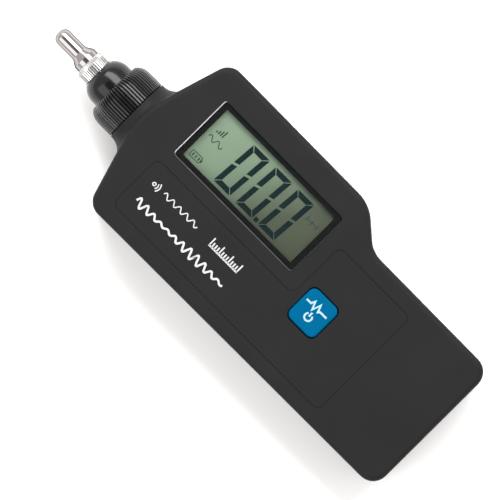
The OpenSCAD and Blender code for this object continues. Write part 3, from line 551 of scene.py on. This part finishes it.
# painted shade for the knurled nut: dark colour deep in the grooves, metal colour on the teeth
grooveShade = {"dark": (0.10, 0.10, 0.097), "light": (0.50, 0.50, 0.49), "rough": 0.28,
         "bottomR": 5.82, "topR": 6.12, "toothX": -76.3}


def shadedKnurl(name):    # painted shade darkens the grooves between the teeth, all in front of the teeth is left unshaded
    material, tree, shader, place = newMaterial(name)
    shader.inputs["Metallic"].default_value = 1.0
    fromLine = tree.nodes.new("ShaderNodeVectorMath")
    fromLine.operation = "MULTIPLY_ADD"
    fromLine.inputs[1].default_value = (0, 1, 1)
    fromLine.inputs[2].default_value = (0, 0, -axisZ * mm)
    tree.links.new(place, fromLine.inputs[0])
    radius = tree.nodes.new("ShaderNodeVectorMath")
    radius.operation = "LENGTH"
    tree.links.new(fromLine.outputs["Vector"], radius.inputs[0])
    outside = addRange(tree, radius.outputs["Value"], 0.0, 1.0, grooveShade["bottomR"] * mm,
                       grooveShade["topR"] * mm)
    inFront = addRange(tree, splitPlace(tree, place)["X"], 1.0, 0.0, (grooveShade["toothX"] - 0.1) * mm,
                       grooveShade["toothX"] * mm)
    # the painted shade is kept off the tooth tops and off all in front of the teeth
    unshaded = addMath(tree, "MAXIMUM", outside, inFront)
    colourBy(tree, shader, unshaded, [(0.0, grooveShade["dark"]), (1.0, grooveShade["light"])])
    shader.inputs["Specular Tint"].default_value = (0.6, 0.6, 0.6, 1)
    grain = addNoise(tree, place, 700)
    roughBy(tree, shader, grain, grooveShade["rough"] - 0.05, grooveShade["rough"] + 0.05)
    addBump(tree, shader, grain, 0.003)
    return material


nutSilver = shadedKnurl("nutSilver")

acrylic = {"tint": (0.006, 0.008, 0.007), "rough": 0.05, "cover": 0.12, "bend": 1.49}


def clearAcrylic(name):
    material, tree, shader, place = newMaterial(name)
    smudge = addNoise(tree, place, 90)
    roughBy(tree, shader, smudge, acrylic["rough"], acrylic["rough"] + 0.03)
    mottle(tree, shader, smudge, acrylic["tint"], tuple(c * 1.1 for c in acrylic["tint"]))
    shader.inputs["Alpha"].default_value = acrylic["cover"]
    shader.inputs["IOR"].default_value = acrylic["bend"]
    shader.inputs["Specular IOR Level"].default_value = 0.8
    return material


lensClear = clearAcrylic("lensClear")

# painted highlight along the lens's edge: where it is bright, and its colours
edgeHighlight = {"tipFrom": -35.3, "tipTo": -34.9, "lowFrom": -1.2, "lowTo": -0.6, "lowShare": 0.30,
         "restShare": 0.03, "dark": (0.004, 0.005, 0.005), "middle": (0.055, 0.06, 0.06),
         "light": (0.40, 0.42, 0.42)}


def paintedEdgeHighlight(name):    # painted highlight: the lens's edge is coloured bright at its probe end and less so on its lower side
    material, tree, shader, place = newMaterial(name)
    split = splitPlace(tree, place)
    tipSide = addRange(tree, split["X"], 1.0, 0.0, edgeHighlight["tipFrom"] * mm, edgeHighlight["tipTo"] * mm)
    lowSide = addRange(tree, split["Y"], edgeHighlight["lowShare"], edgeHighlight["restShare"],
                       edgeHighlight["lowFrom"] * mm, edgeHighlight["lowTo"] * mm)
    brighter = addMath(tree, "MAXIMUM", tipSide, lowSide)
    patches = addRange(tree, addNoise(tree, place, 160), 0.7, 1.15)
    colourBy(tree, shader, addMath(tree, "MULTIPLY", brighter, patches), [
        (0.0, edgeHighlight["dark"]), (0.3, edgeHighlight["middle"]), (1.0, edgeHighlight["light"])])
    shader.inputs["Roughness"].default_value = 0.3
    return material


edgeHighlightPaint = paintedEdgeHighlight("edgeHighlightPaint")

# greens of the display, darkening across it as painted shade
lcd = {"spanX": (-35.0, 22.0), "spanY": (-2.0, 24.0), "alongShare": 0.8, "acrossShare": 0.35,
       "uneven": 0.03, "greens": [
           (0.0, (0.235, 0.325, 0.227)), (0.4, (0.175, 0.255, 0.170)),
           (0.76, (0.060, 0.076, 0.046)), (1.0, (0.052, 0.066, 0.038))]}


def displayGlass(name):    # the display's own green with painted shade: it darkens away from the probe and towards the lower side
    material, tree, shader, place = newMaterial(name)
    split = splitPlace(tree, place)
    along = addRange(tree, split["X"], 0.0, lcd["alongShare"], *(x * mm for x in lcd["spanX"]))
    across = addRange(tree, split["Y"], lcd["acrossShare"], 0.0, *(y * mm for y in lcd["spanY"]))
    slope = addMath(tree, "ADD", along, across)
    uneven = addRange(tree, addNoise(tree, place, 110, 4), -lcd["uneven"], lcd["uneven"])
    colourBy(tree, shader, addMath(tree, "ADD", slope, uneven), lcd["greens"])
    roughBy(tree, shader, addNoise(tree, place, 60), 0.38, 0.45)
    shader.inputs["Specular IOR Level"].default_value = 0.4
    return material


lcdGreen = displayGlass("lcdGreen")

for node, material in {
    "front_shell": casePlastic, "rear_shell": casePlastic, "battery_door": casePlastic,
    "display_lens": lensClear, "display_bezel": frameBlack, "lcd_glass": lcdGreen,
    "lcd_rear_glass": lcdRear, "lcd_reflector": reflectorFoil, "contact_strips": rubberGrey,
    "face_overlay": overlayFilm, "measure_button": buttonBlue, "button_plunger": chipBlack,
    "button_switch": tinMetal, "main_board": boardGreen, "board_chips": chipBlack,
    "board_capacitors": cableBlack, "trim_pots": potBlue, "board_crystal": tinMetal,
    "board_screws": screwSteel, "mode_switch": tinMetal, "mode_knob": knobBlack,
    "range_switch": tinMetal, "range_knob": knobBlack, "output_jack": knobBlack,
    "battery": batteryCan, "battery_snap": cableBlack, "battery_leads": leadRed,
    "battery_pad": foamGrey, "case_screws": screwSteel, "knurled_collar": collarBlack,
    "nose_sleeve": glossBlack, "sleeve_seal": cableBlack, "pickup_housing": pickupSteel,
    "pickup_cap": pickupSteel, "piezo_rings": ceramicWhite, "seismic_mass": massBrass,
    "stack_screw": screwSteel, "signal_cable": cableBlack, "tip_nut": nutSilver,
    "probe_tip": tipChrome,
}.items():
    paint(nodes[node], material)

print("case shells")
joint = {"z": 15.0, "chamfer": 0.25, "middle": (20.0, -4.0), "upright": 0.15}


def chamferJoint(shell):    # the halves meet in a fine line round the flanks
    walls = set()
    for face in shell.data.polygons:
        outward = Vector(face.center[:2]) / mm - Vector(joint["middle"])
        if abs(face.normal.z) < joint["upright"] and outward.dot(Vector(face.normal[:2])) > 0:
            walls.update(face.edge_keys)
    selectEdges(shell, lambda a, b: max(abs(a.z - joint["z"]), abs(b.z - joint["z"])) < near, walls)
    bevelEdges(joint["chamfer"], 1)
    objectMode()


def dressShell(name, node, body):
    shell = copyOfNode(name, node)
    if body == "case":
        chamferJoint(shell)
    smoothEdges(shell, 40)
    evenNormals(shell)
    return finishPiece(shell, body, casePlastic, (node,))


dressShell("frontCase", "front_shell", "case")
dressShell("rearCase", "rear_shell", "case")
doorPlate = dressShell("doorPlate", "battery_door", "door")

print("back: arrow on the door, screws")
arrow = {"from": 50.0, "neck": 57.5, "point": 62.0, "shaft": 0.8, "barb": 2.6, "below": -0.5,
         "depth": 0.35}
halfOutline = [(arrow["from"], arrow["shaft"]), (arrow["neck"], arrow["shaft"]),
               (arrow["neck"], arrow["barb"])]
outline = [(x, tailMidY - half) for x, half in halfOutline] + [(arrow["point"], tailMidY)]
outline += [(x, tailMidY + half) for x, half in halfOutline[::-1]]
cutAway(doorPlate, plateOf("arrowCut", outline, arrow["below"], arrow["depth"]))
cleanMesh(doorPlate)
smoothEdges(doorPlate, 30)
evenNormals(doorPlate)

screw = {"head": [(0.0, 7.0), (1.6, 7.02), (1.95, 7.12), (2.12, 7.3), (2.18, 7.6), (2.18, 9.0)],
         "seat": 9.0, "core": 1.0, "thread": 1.2, "threadFrom": 10.0, "threadTo": 20.7,
         "crest": 0.3, "valley": 0.6, "pitch": 0.8, "taper": 21.1, "end": 21.9,
         "slot": 0.31, "slotReach": 1.35, "slotFrom": 6.5, "slotTo": 8.0,
         "at": ((-38.9, 28.0), (-38.9, -28.0), (86.5, 16.7), (72.0, -27.29)),
         "turned": (18, 71, -34, 52)}
screwShape = screw["head"] + [(screw["core"], screw["seat"])]
height = screw["threadFrom"]
while height < screw["threadTo"]:
    screwShape += [(screw["core"], height), (screw["thread"], height + screw["crest"]),
                   (screw["core"], height + screw["valley"])]
    height += screw["pitch"]
screwShape += [(screw["core"], screw["taper"]), (0.0, screw["end"])]
oneScrew = turnPiece("oneScrew", screwShape, steps=32, at=(0.0, 0.0), upright=True)
for x, y in ((screw["slotReach"], screw["slot"]), (screw["slot"], screw["slotReach"])):
    slotCut = addBox("slotCut", (-x, -y, screw["slotFrom"]), (x, y, screw["slotTo"]))
    cutAway(oneScrew, slotCut)
smoothEdges(oneScrew, 30)
screwSet = [copyPiece(oneScrew, place, turned)
            for place, turned in zip(screw["at"][1:], screw["turned"][1:])]
placePiece(oneScrew, screw["at"][0], screw["turned"][0])
caseScrews = joinPieces("caseScrews", [oneScrew] + screwSet)
finishPiece(caseScrews, "case", screwSteel, ("case_screws",))

print("battery")
block = {"low": (40.2, -18.54, 2.5), "high": (88.7, 7.96, 20.0), "edge": 1.1, "edgeSteps": 4,
         "inset": 0.7, "hollow": -0.35, "signZ": (2.44, 2.48), "signX": (44.2, 47.4),
         "signGap": (45.45, 46.15), "signHalf": 1.6, "line": 0.7}
stud = {"apart": 6.35, "z": 11.25, "profile": [
    (40.4, 0.0), (40.4, 3.15), (39.85, 3.15), (39.7, 2.7), (37.92, 2.55), (37.57, 2.75),
    (37.42, 2.5), (37.52, 1.9), (38.32, 1.7), (38.32, 0.0)]}
layers = {"batterySleeve": {"from": 42.6, "to": 86.4, "out": 0.03, "finish": batteryWrap},
          "batteryCopperBand": {"from": 72.0, "to": 86.4, "out": 0.05, "finish": batteryBand}}


def longBox(name, fromX, toX, out):
    low, high = block["low"], block["high"]
    obj = addBox(name, (fromX, low[1] - out, low[2] - out), (toX, high[1] + out, high[2] + out))
    selectEdges(obj, lambda a, b: abs(a.x - b.x) > near)
    bevelEdges(block["edge"], block["edgeSteps"])
    objectMode()
    return obj


batteryBlock = longBox("batteryBlock", block["low"][0], block["high"][0], 0)
selectFaces(batteryBlock, lambda centre, normal: abs(normal.x) > 0.99)
bpy.ops.mesh.inset(thickness=block["inset"] * mm, depth=block["hollow"] * mm)
objectMode()
smoothEdges(batteryBlock, 30)
evenNormals(batteryBlock)
finishPiece(batteryBlock, "case", batteryCan, ("battery",))
for name, layer in layers.items():
    wrap = longBox(name, layer["from"], layer["to"], layer["out"])
    smoothEdges(wrap, 30)
    evenNormals(wrap)
    finishPiece(wrap, "case", layer["finish"])

minusY, plusY = tailMidY - stud["apart"], tailMidY + stud["apart"]
oneStud = turnPiece("oneStud", stud["profile"], steps=32, at=(minusY, stud["z"]))
otherStud = copyPiece(oneStud, (0, 2 * stud["apart"]))
batteryStuds = joinPieces("batteryStuds", [oneStud, otherStud])
smoothEdges(batteryStuds, 30)
finishPiece(batteryStuds, "case", tinMetal)

fromX, toX = block["signX"]
gapFrom, gapTo = block["signGap"]
midX = (fromX + toX) / 2
signPaths = [[(fromX, minusY), (toX, minusY)], [(fromX, plusY), (gapFrom, plusY)],
             [(gapTo, plusY), (toX, plusY)],
             [(midX, plusY - block["signHalf"]), (midX, plusY + block["signHalf"])]]
batterySigns = joinPieces("batterySigns", [strokePlate(path, block["line"], *block["signZ"])
                                           for path in signPaths])
finishPiece(batterySigns, "case", printWhite)

print("marks at the side switches")
sideMarks = {"wall": 22.912, "wallAt": 52.0, "lean": -0.0052, "proud": 0.02, "half": 0.225,
             "foot": 22.2, "tall": 0.7, "taller": 0.55,
             "mode": (49.5, 52.0, 54.5), "range": (70.01, 72.51)}
ticks = []
for places in (sideMarks["mode"], sideMarks["range"]):
    for count, x in enumerate(places):
        wallY = sideMarks["wall"] + sideMarks["lean"] * (x - sideMarks["wallAt"])
        top = sideMarks["foot"] + sideMarks["tall"] + sideMarks["taller"] * count
        ticks.append(addBox(
            "tick", (x - sideMarks["half"], wallY - sideMarks["proud"], sideMarks["foot"]),
            (x + sideMarks["half"], wallY + sideMarks["proud"], top)))
switchMarks = joinPieces("switchMarks", ticks)
finishPiece(switchMarks, "case", printWhite)

print("jack ring")
jack = {"at": (-25.616, 18.6), "profile": [
    (91.9, 1.82), (91.9, 2.65), (92.2, 2.65), (92.32, 2.5), (92.32, 1.97), (92.17, 1.82)]}
jackRing = turnPiece("jackRing", jack["profile"], steps=48, closed=True, at=jack["at"])
smoothEdges(jackRing, 40)
finishPiece(jackRing, "case", tinMetal)

print("display frame and lens")
rim = {"low": (-36.7, -2.6, 23.0), "high": (22.2, 25.4, 27.55), "corner": 2.5,
       "cavityLow": (-35.4, -1.3, 22.0), "cavityHigh": (20.9, 24.1, 26.45), "cavityCorner": 1.2,
       "windowLow": (-32.9, 0.9, 26.0), "windowHigh": (18.4, 21.9, 27.6), "windowCorner": 0.3,
       "flare": 0.5}
displayFrame = roundBox("displayFrame", rim["low"], rim["high"], rim["corner"], cornerSteps=6)
cavity = roundBox("cavity", rim["cavityLow"], rim["cavityHigh"], rim["cavityCorner"],
                  cornerSteps=4)
cutAway(displayFrame, cavity)
window = roundBox("window", rim["windowLow"], rim["windowHigh"], rim["windowCorner"],
                  cornerSteps=3)
selectFaces(window, lambda centre, normal: normal.z > 0.9)    # the window widens upwards
middle = [(a + b) / 2 for a, b in zip(rim["windowLow"], rim["windowHigh"])]
widened = [1 + 2 * rim["flare"] / (b - a) for a, b in zip(rim["windowLow"], rim["windowHigh"])]
bpy.ops.transform.resize(
    value=(widened[0], widened[1], 1),
    center_override=(middle[0] * mm, middle[1] * mm, rim["windowHigh"][2] * mm))
objectMode()
cutAway(displayFrame, window)
smoothEdges(displayFrame, 30)
finishPiece(displayFrame, "case", frameBlack, ("display_bezel",))

lens = {"low": (-35.6, -1.5, 28.62), "high": (21.1, 24.3, 29.8), "corner": 1.5, "rim": 0.25,
        "borderLow": (-35.55, -1.45, 28.602), "borderHigh": (21.05, 24.25, 28.616),
        "openLow": (-33.25, 0.55, 28.0), "openHigh": (18.75, 22.25, 29.0), "openCorner": 0.5,
        "edge": 0.32, "edgeZ": (29.45, 29.82), "edgeCutZ": (29.0, 30.2)}
lensPane = roundBox("lensPane", lens["low"], lens["high"], lens["corner"], cornerSteps=6,
                    rimR=lens["rim"])
smoothEdges(lensPane, 40)
evenNormals(lensPane)
finishPiece(lensPane, "case", lensClear, ("display_lens",))

lensBorder = roundBox("lensBorder", lens["borderLow"], lens["borderHigh"], lens["corner"],
                      cornerSteps=6)
opening = roundBox("opening", lens["openLow"], lens["openHigh"], lens["openCorner"], cornerSteps=3)
cutAway(lensBorder, opening)
finishPiece(lensBorder, "case", frameBlack)

(lowX, lowY), (highX, highY) = lens["low"][:2], lens["high"][:2]
lensEdge = roundBox("lensEdge", (lowX, lowY, lens["edgeZ"][0]), (highX, highY, lens["edgeZ"][1]),
                    lens["corner"], cornerSteps=6)
inner = roundBox("inner", (lowX + lens["edge"], lowY + lens["edge"], lens["edgeCutZ"][0]),
                 (highX - lens["edge"], highY - lens["edge"], lens["edgeCutZ"][1]),
                 lens["corner"] - lens["edge"], cornerSteps=6)
cutAway(lensEdge, inner)
smoothEdges(lensEdge, 30)
# the lens's edge ring carries the painted highlight
finishPiece(lensEdge, "case", edgeHighlightPaint)

print("digits")
digits = {"low": 1.9, "high": 20.1, "mid": 11.0, "bar": 1.95, "gap": 0.13, "split": 0.475,
          "tilt": 0.3, "slant": 4.3, "lefts": (-19.7, -9.1, 1.5), "wide": 7.8,
          "z": 26.38, "top": 26.43, "point": [(-0.7, 1.9), (0.9, 1.9), (0.9, 3.5), (-0.7, 3.5)]}


def leaning(x, y):
    return (x + math.tan(math.radians(digits["slant"])) * (y - digits["low"]), y)


def barsOfZero(left):
    right, bar, gap = left + digits["wide"], digits["bar"], digits["gap"]
    innerLeft, innerRight = left + bar, right - bar
    bars = []
    for end, inward in ((digits["high"], -1), (digits["low"], 1)):    # bars across
        bars.append([(left + 2 * gap, end), (right - 2 * gap, end),
                     (innerRight - gap, end + inward * bar), (innerLeft + gap, end + inward * bar)])
    for end, inward in ((digits["high"], -1), (digits["low"], 1)):    # bars up and down
        split = digits["mid"] - inward * digits["split"]
        for outer, inside, tilt in ((left, innerLeft, digits["tilt"]),
                                    (right, innerRight, -digits["tilt"])):
            bars.append([(outer, end + inward * 2 * gap), (inside, end + inward * (bar + gap)),
                         (inside, split + tilt), (outer, split - tilt)])
    return bars


bars = []
for left in digits["lefts"]:
    for outline in barsOfZero(left):
        bars.append(plateOf("bar", [leaning(x, y) for x, y in outline], digits["z"], digits["top"]))
bars.append(plateOf("bar", digits["point"], digits["z"], digits["top"]))
displayDigits = joinPieces("displayDigits", bars)
finishPiece(displayDigits, "case", segmentInk)

marks = {"z": 26.38, "top": 26.42, "line": 0.3,
         "cell": [(-31.6, 2.2), (-27.2, 2.2), (-27.2, 4.5), (-31.6, 4.5), (-31.6, 2.2)],
         "pole": [(-26.9, 2.8), (-26.9, 3.9)], "poleWide": 0.6,
         "charge": (-30.7, -29.4, -28.1), "chargeY": (2.75, 3.95), "chargeWide": 0.55,
         "ripple": (-31.4, -25.0, 11.5), "rippleWaves": 2, "rippleUp": 0.9, "rippleWide": 0.36,
         "levels": ((-30.4, 0.7), (-29.5, 1.4), (-28.6, 2.1), (-27.7, 2.8)), "levelY": 14.0,
         "levelWide": 0.5, "unit": (11.9, 14.2, 16.5), "unitY": (14.3, 16.3), "unitWide": 0.4,
         "unitBarY": 15.3, "lean": 0.15, "levelLean": 0.07}


def drawSign(path, width):
    return strokePlate(path, width, marks["z"], marks["top"])


signs = [drawSign([here, there], marks["line"])
         for here, there in zip(marks["cell"], marks["cell"][1:])]
signs.append(drawSign(marks["pole"], marks["poleWide"]))
for x in marks["charge"]:
    signs.append(drawSign([(x, marks["chargeY"][0]), (x + marks["lean"], marks["chargeY"][1])],
                          marks["chargeWide"]))
ripple = wavePath(*marks["ripple"], steps=40,
                  height=lambda share: marks["rippleUp"] * swing(share, marks["rippleWaves"]))
signs.append(drawSign(ripple, marks["rippleWide"]))
for x, tall in marks["levels"]:
    signs.append(drawSign([(x, marks["levelY"]),
                           (x + tall * marks["levelLean"], marks["levelY"] + tall)],
                          marks["levelWide"]))
for x in marks["unit"]:
    signs.append(drawSign([(x, marks["unitY"][0]), (x + marks["lean"], marks["unitY"][1])],
                          marks["unitWide"]))
unitBar = [(x, marks["unitBarY"]) for x in (marks["unit"][0], marks["unit"][-1])]
signs.append(drawSign(unitBar, marks["line"]))
displaySigns = joinPieces("displaySigns", signs)
finishPiece(displaySigns, "case", signInk)

print("printed marks on the face")
face = {"z": 29.985, "top": 30.03,
        "trace": (-33.0, 8.0, -21.25), "traceWaves": 12, "traceUp": 1.6, "bold": 0.72,
        "swell": 0.38, "swells": 1.5,
        "row": (-28.0, -12.0, -13.2), "rowWaves": 5, "rowUp": 0.85, "fine": 0.4,
        "source": (-32.6, -13.2), "dot": 0.55, "dotLine": 0.42, "arcs": (1.5, 2.4), "arcHalf": 42,
        "ruler": (-5.0, 8.0, -14.6), "rulerSteps": 12, "tallEvery": 4, "tall": 3.2, "short": 1.9,
        "tick": 0.52, "foot": 0.6}


def printStroke(path, width):
    return strokePlate(path, width, face["z"], face["top"])


def traceHeight(share):    # the trace swells and fades
    swell = 1 - face["swell"] + face["swell"] * math.cos(share * 2 * math.pi * face["swells"])
    return face["traceUp"] * swell * swing(share, face["traceWaves"])


def rowHeight(share):
    return face["rowUp"] * swing(share, face["rowWaves"])


prints = [printStroke(wavePath(*face["trace"], steps=240, height=traceHeight), face["bold"]),
          printStroke(wavePath(*face["row"], steps=120, height=rowHeight), face["fine"]),
          printStroke(arcPath(face["source"], face["dot"], 0, 350, steps=24), face["dotLine"])]
for radius in face["arcs"]:
    arc = arcPath(face["source"], radius, -face["arcHalf"], face["arcHalf"], steps=14)
    prints.append(printStroke(arc, face["fine"]))
fromX, toX, footY = face["ruler"]
for k in range(face["rulerSteps"] + 1):
    x = fromX + (toX - fromX) * k / face["rulerSteps"]
    tall = face["short"] if k % face["tallEvery"] else face["tall"]
    prints.append(printStroke([(x, footY), (x, footY + tall)], face["tick"]))
halfTick = face["tick"] / 2
prints.append(printStroke([(fromX - halfTick, footY), (toX + halfTick, footY)], face["foot"]))
facePrint = joinPieces("facePrint", prints)
finishPiece(facePrint, "case", printWhite)

print("button")
button = {"low": (29.8, -12.7, 25.9), "high": (42.2, 1.0, 30.3), "corner": 2.4, "rim": 0.6,
          "crown": ((0.86, 0.045), (0.8, 0.025)),
          "footLow": (28.45, -14.05, 25.9), "footHigh": (43.55, 2.35, 27.1), "footCorner": 2.6,
          "footRim": 0.15, "printZ": (30.34, 30.42), "pulseLine": 0.7, "ringLine": 0.65,
          "pulse": [(31.2, -4.0), (33.2, -4.0), (33.9, -2.6), (35.0, -5.3), (36.1, -2.2),
                    (37.0, -4.6), (37.6, -4.0), (40.5, -4.0)],
          "ring": (35.85, -8.0), "ringR": 1.35, "ringFrom": 130, "ringTo": 410,
          "stroke": [(35.85, -7.7), (35.85, -6.0)]}
buttonCap = roundBox("buttonCap", button["low"], button["high"], button["corner"], cornerSteps=8,
                     rimR=button["rim"], rimSteps=4)
selectFaces(buttonCap, lambda centre, normal: centre.z > button["high"][2] - near)
middle = [(a + b) / 2 * mm for a, b in zip(button["low"], button["high"])]
for share, lift in button["crown"]:    # the top is slightly crowned
    extrudeBy((0, 0, lift * mm))
    bpy.ops.transform.resize(value=(share, share, 1),
                             center_override=(middle[0], middle[1], button["high"][2] * mm))
objectMode()
buttonFoot = roundBox("buttonFoot", button["footLow"], button["footHigh"], button["footCorner"],
                      cornerSteps=8, rimR=button["footRim"])
buttonCap = joinPieces("buttonCap", [buttonCap, buttonFoot])
smoothEdges(buttonCap, 30)
evenNormals(buttonCap)
finishPiece(buttonCap, "button", buttonBlue, ("measure_button",))

ring = arcPath(button["ring"], button["ringR"], button["ringFrom"], button["ringTo"], steps=30)
onMarks = [strokePlate(button["pulse"], button["pulseLine"], *button["printZ"]),
           strokePlate(ring, button["ringLine"], *button["printZ"]),
           strokePlate(button["stroke"], button["ringLine"], *button["printZ"])]
buttonPrint = joinPieces("buttonPrint", onMarks)
finishPiece(buttonPrint, "button", printPale)

print("turned pieces")
collar = {"count": 66, "columns": 4, "raised": (1, 2), "up": 0.5, "from": -65.2, "to": -55.3,
          "above": 9.6, "profile": [
              (-65.7, 8.68, 0), (-65.7, 9.0, 0.2), (-65.3, 9.7, 0.6), (-64.4, 10.7, 1.2),
              (-63.0, 11.5, 2.0), (-61.2, 11.8, 3.0), (-55.3, 11.8, 0), (-55.1, 11.8, 0),
              (-54.92, 11.7, 0), (-54.92, 8.68, 0)]}
knurledRing = turnPiece("knurledRing", softCorners(collar["profile"], steps=4),
                        steps=collar["count"] * collar["columns"], closed=True)
raiseColumns(knurledRing, collar)
smoothEdges(knurledRing, 25)
finishPiece(knurledRing, "case", collarBlack, ("knurled_collar",))

sleeve = {"profile": [
    (-47.4, 5.56, 0), (-72.8, 5.56, 0), (-72.8, 6.25, 0.5), (-71.2, 7.7, 6), (-68.9, 8.6, 9),
    (-64.5, 8.6, 0), (-49.0, 8.6, 0), (-49.0, 11.0, 0), (-47.4, 11.0, 0)]}
glossSleeve = turnPiece("glossSleeve", softCorners(sleeve["profile"], steps=8), steps=128,
                        closed=True)
smoothEdges(glossSleeve, 40)
finishPiece(glossSleeve, "case", glossBlack, ("nose_sleeve",))

nut = {"count": 44, "columns": 3, "raised": (1,), "up": 0.38, "from": -76.4, "to": -73.2,
       "above": 5.7, "profile": [
           (-73.1, 2.62), (-78.0, 2.62), (-78.0, 4.9), (-77.7, 5.15), (-76.4, 5.82),
           (-73.2, 5.82), (-73.1, 5.7)]}
knurledNut = turnPiece("knurledNut", nut["profile"], steps=nut["count"] * nut["columns"],
                       closed=True)
raiseColumns(knurledNut, nut)
smoothEdges(knurledNut, 20)
finishPiece(knurledNut, "tip", nutSilver, ("tip_nut",))

tip = {"end": -92.5, "round": 2.5, "flat": 0.6, "roundSteps": 8, "cone": [
           (-90.0, 3.1, 0), (-82.5, 3.1, 0.4), (-80.0, 4.6, 0.25), (-78.0, 4.6, 0.15),
           (-78.0, 2.5, 0)],
       "stud": [(-71.5, 2.5), (-71.5, 0.0)]}
tipShape = [(tip["end"], 0.0)]
for k in range(tip["roundSteps"] + 1):
    a = math.radians(90 * k / tip["roundSteps"])
    tipShape.append((tip["end"] + tip["round"] * (1 - math.cos(a)),
                     tip["flat"] + tip["round"] * math.sin(a)))
tipShape += softCorners(tip["cone"], steps=4)[1:] + tip["stud"]    # its first point is there
probeRod = turnPiece("probeRod", tipShape, steps=96)
smoothEdges(probeRod, 40)
finishPiece(probeRod, "tip", tipChrome, ("probe_tip",))
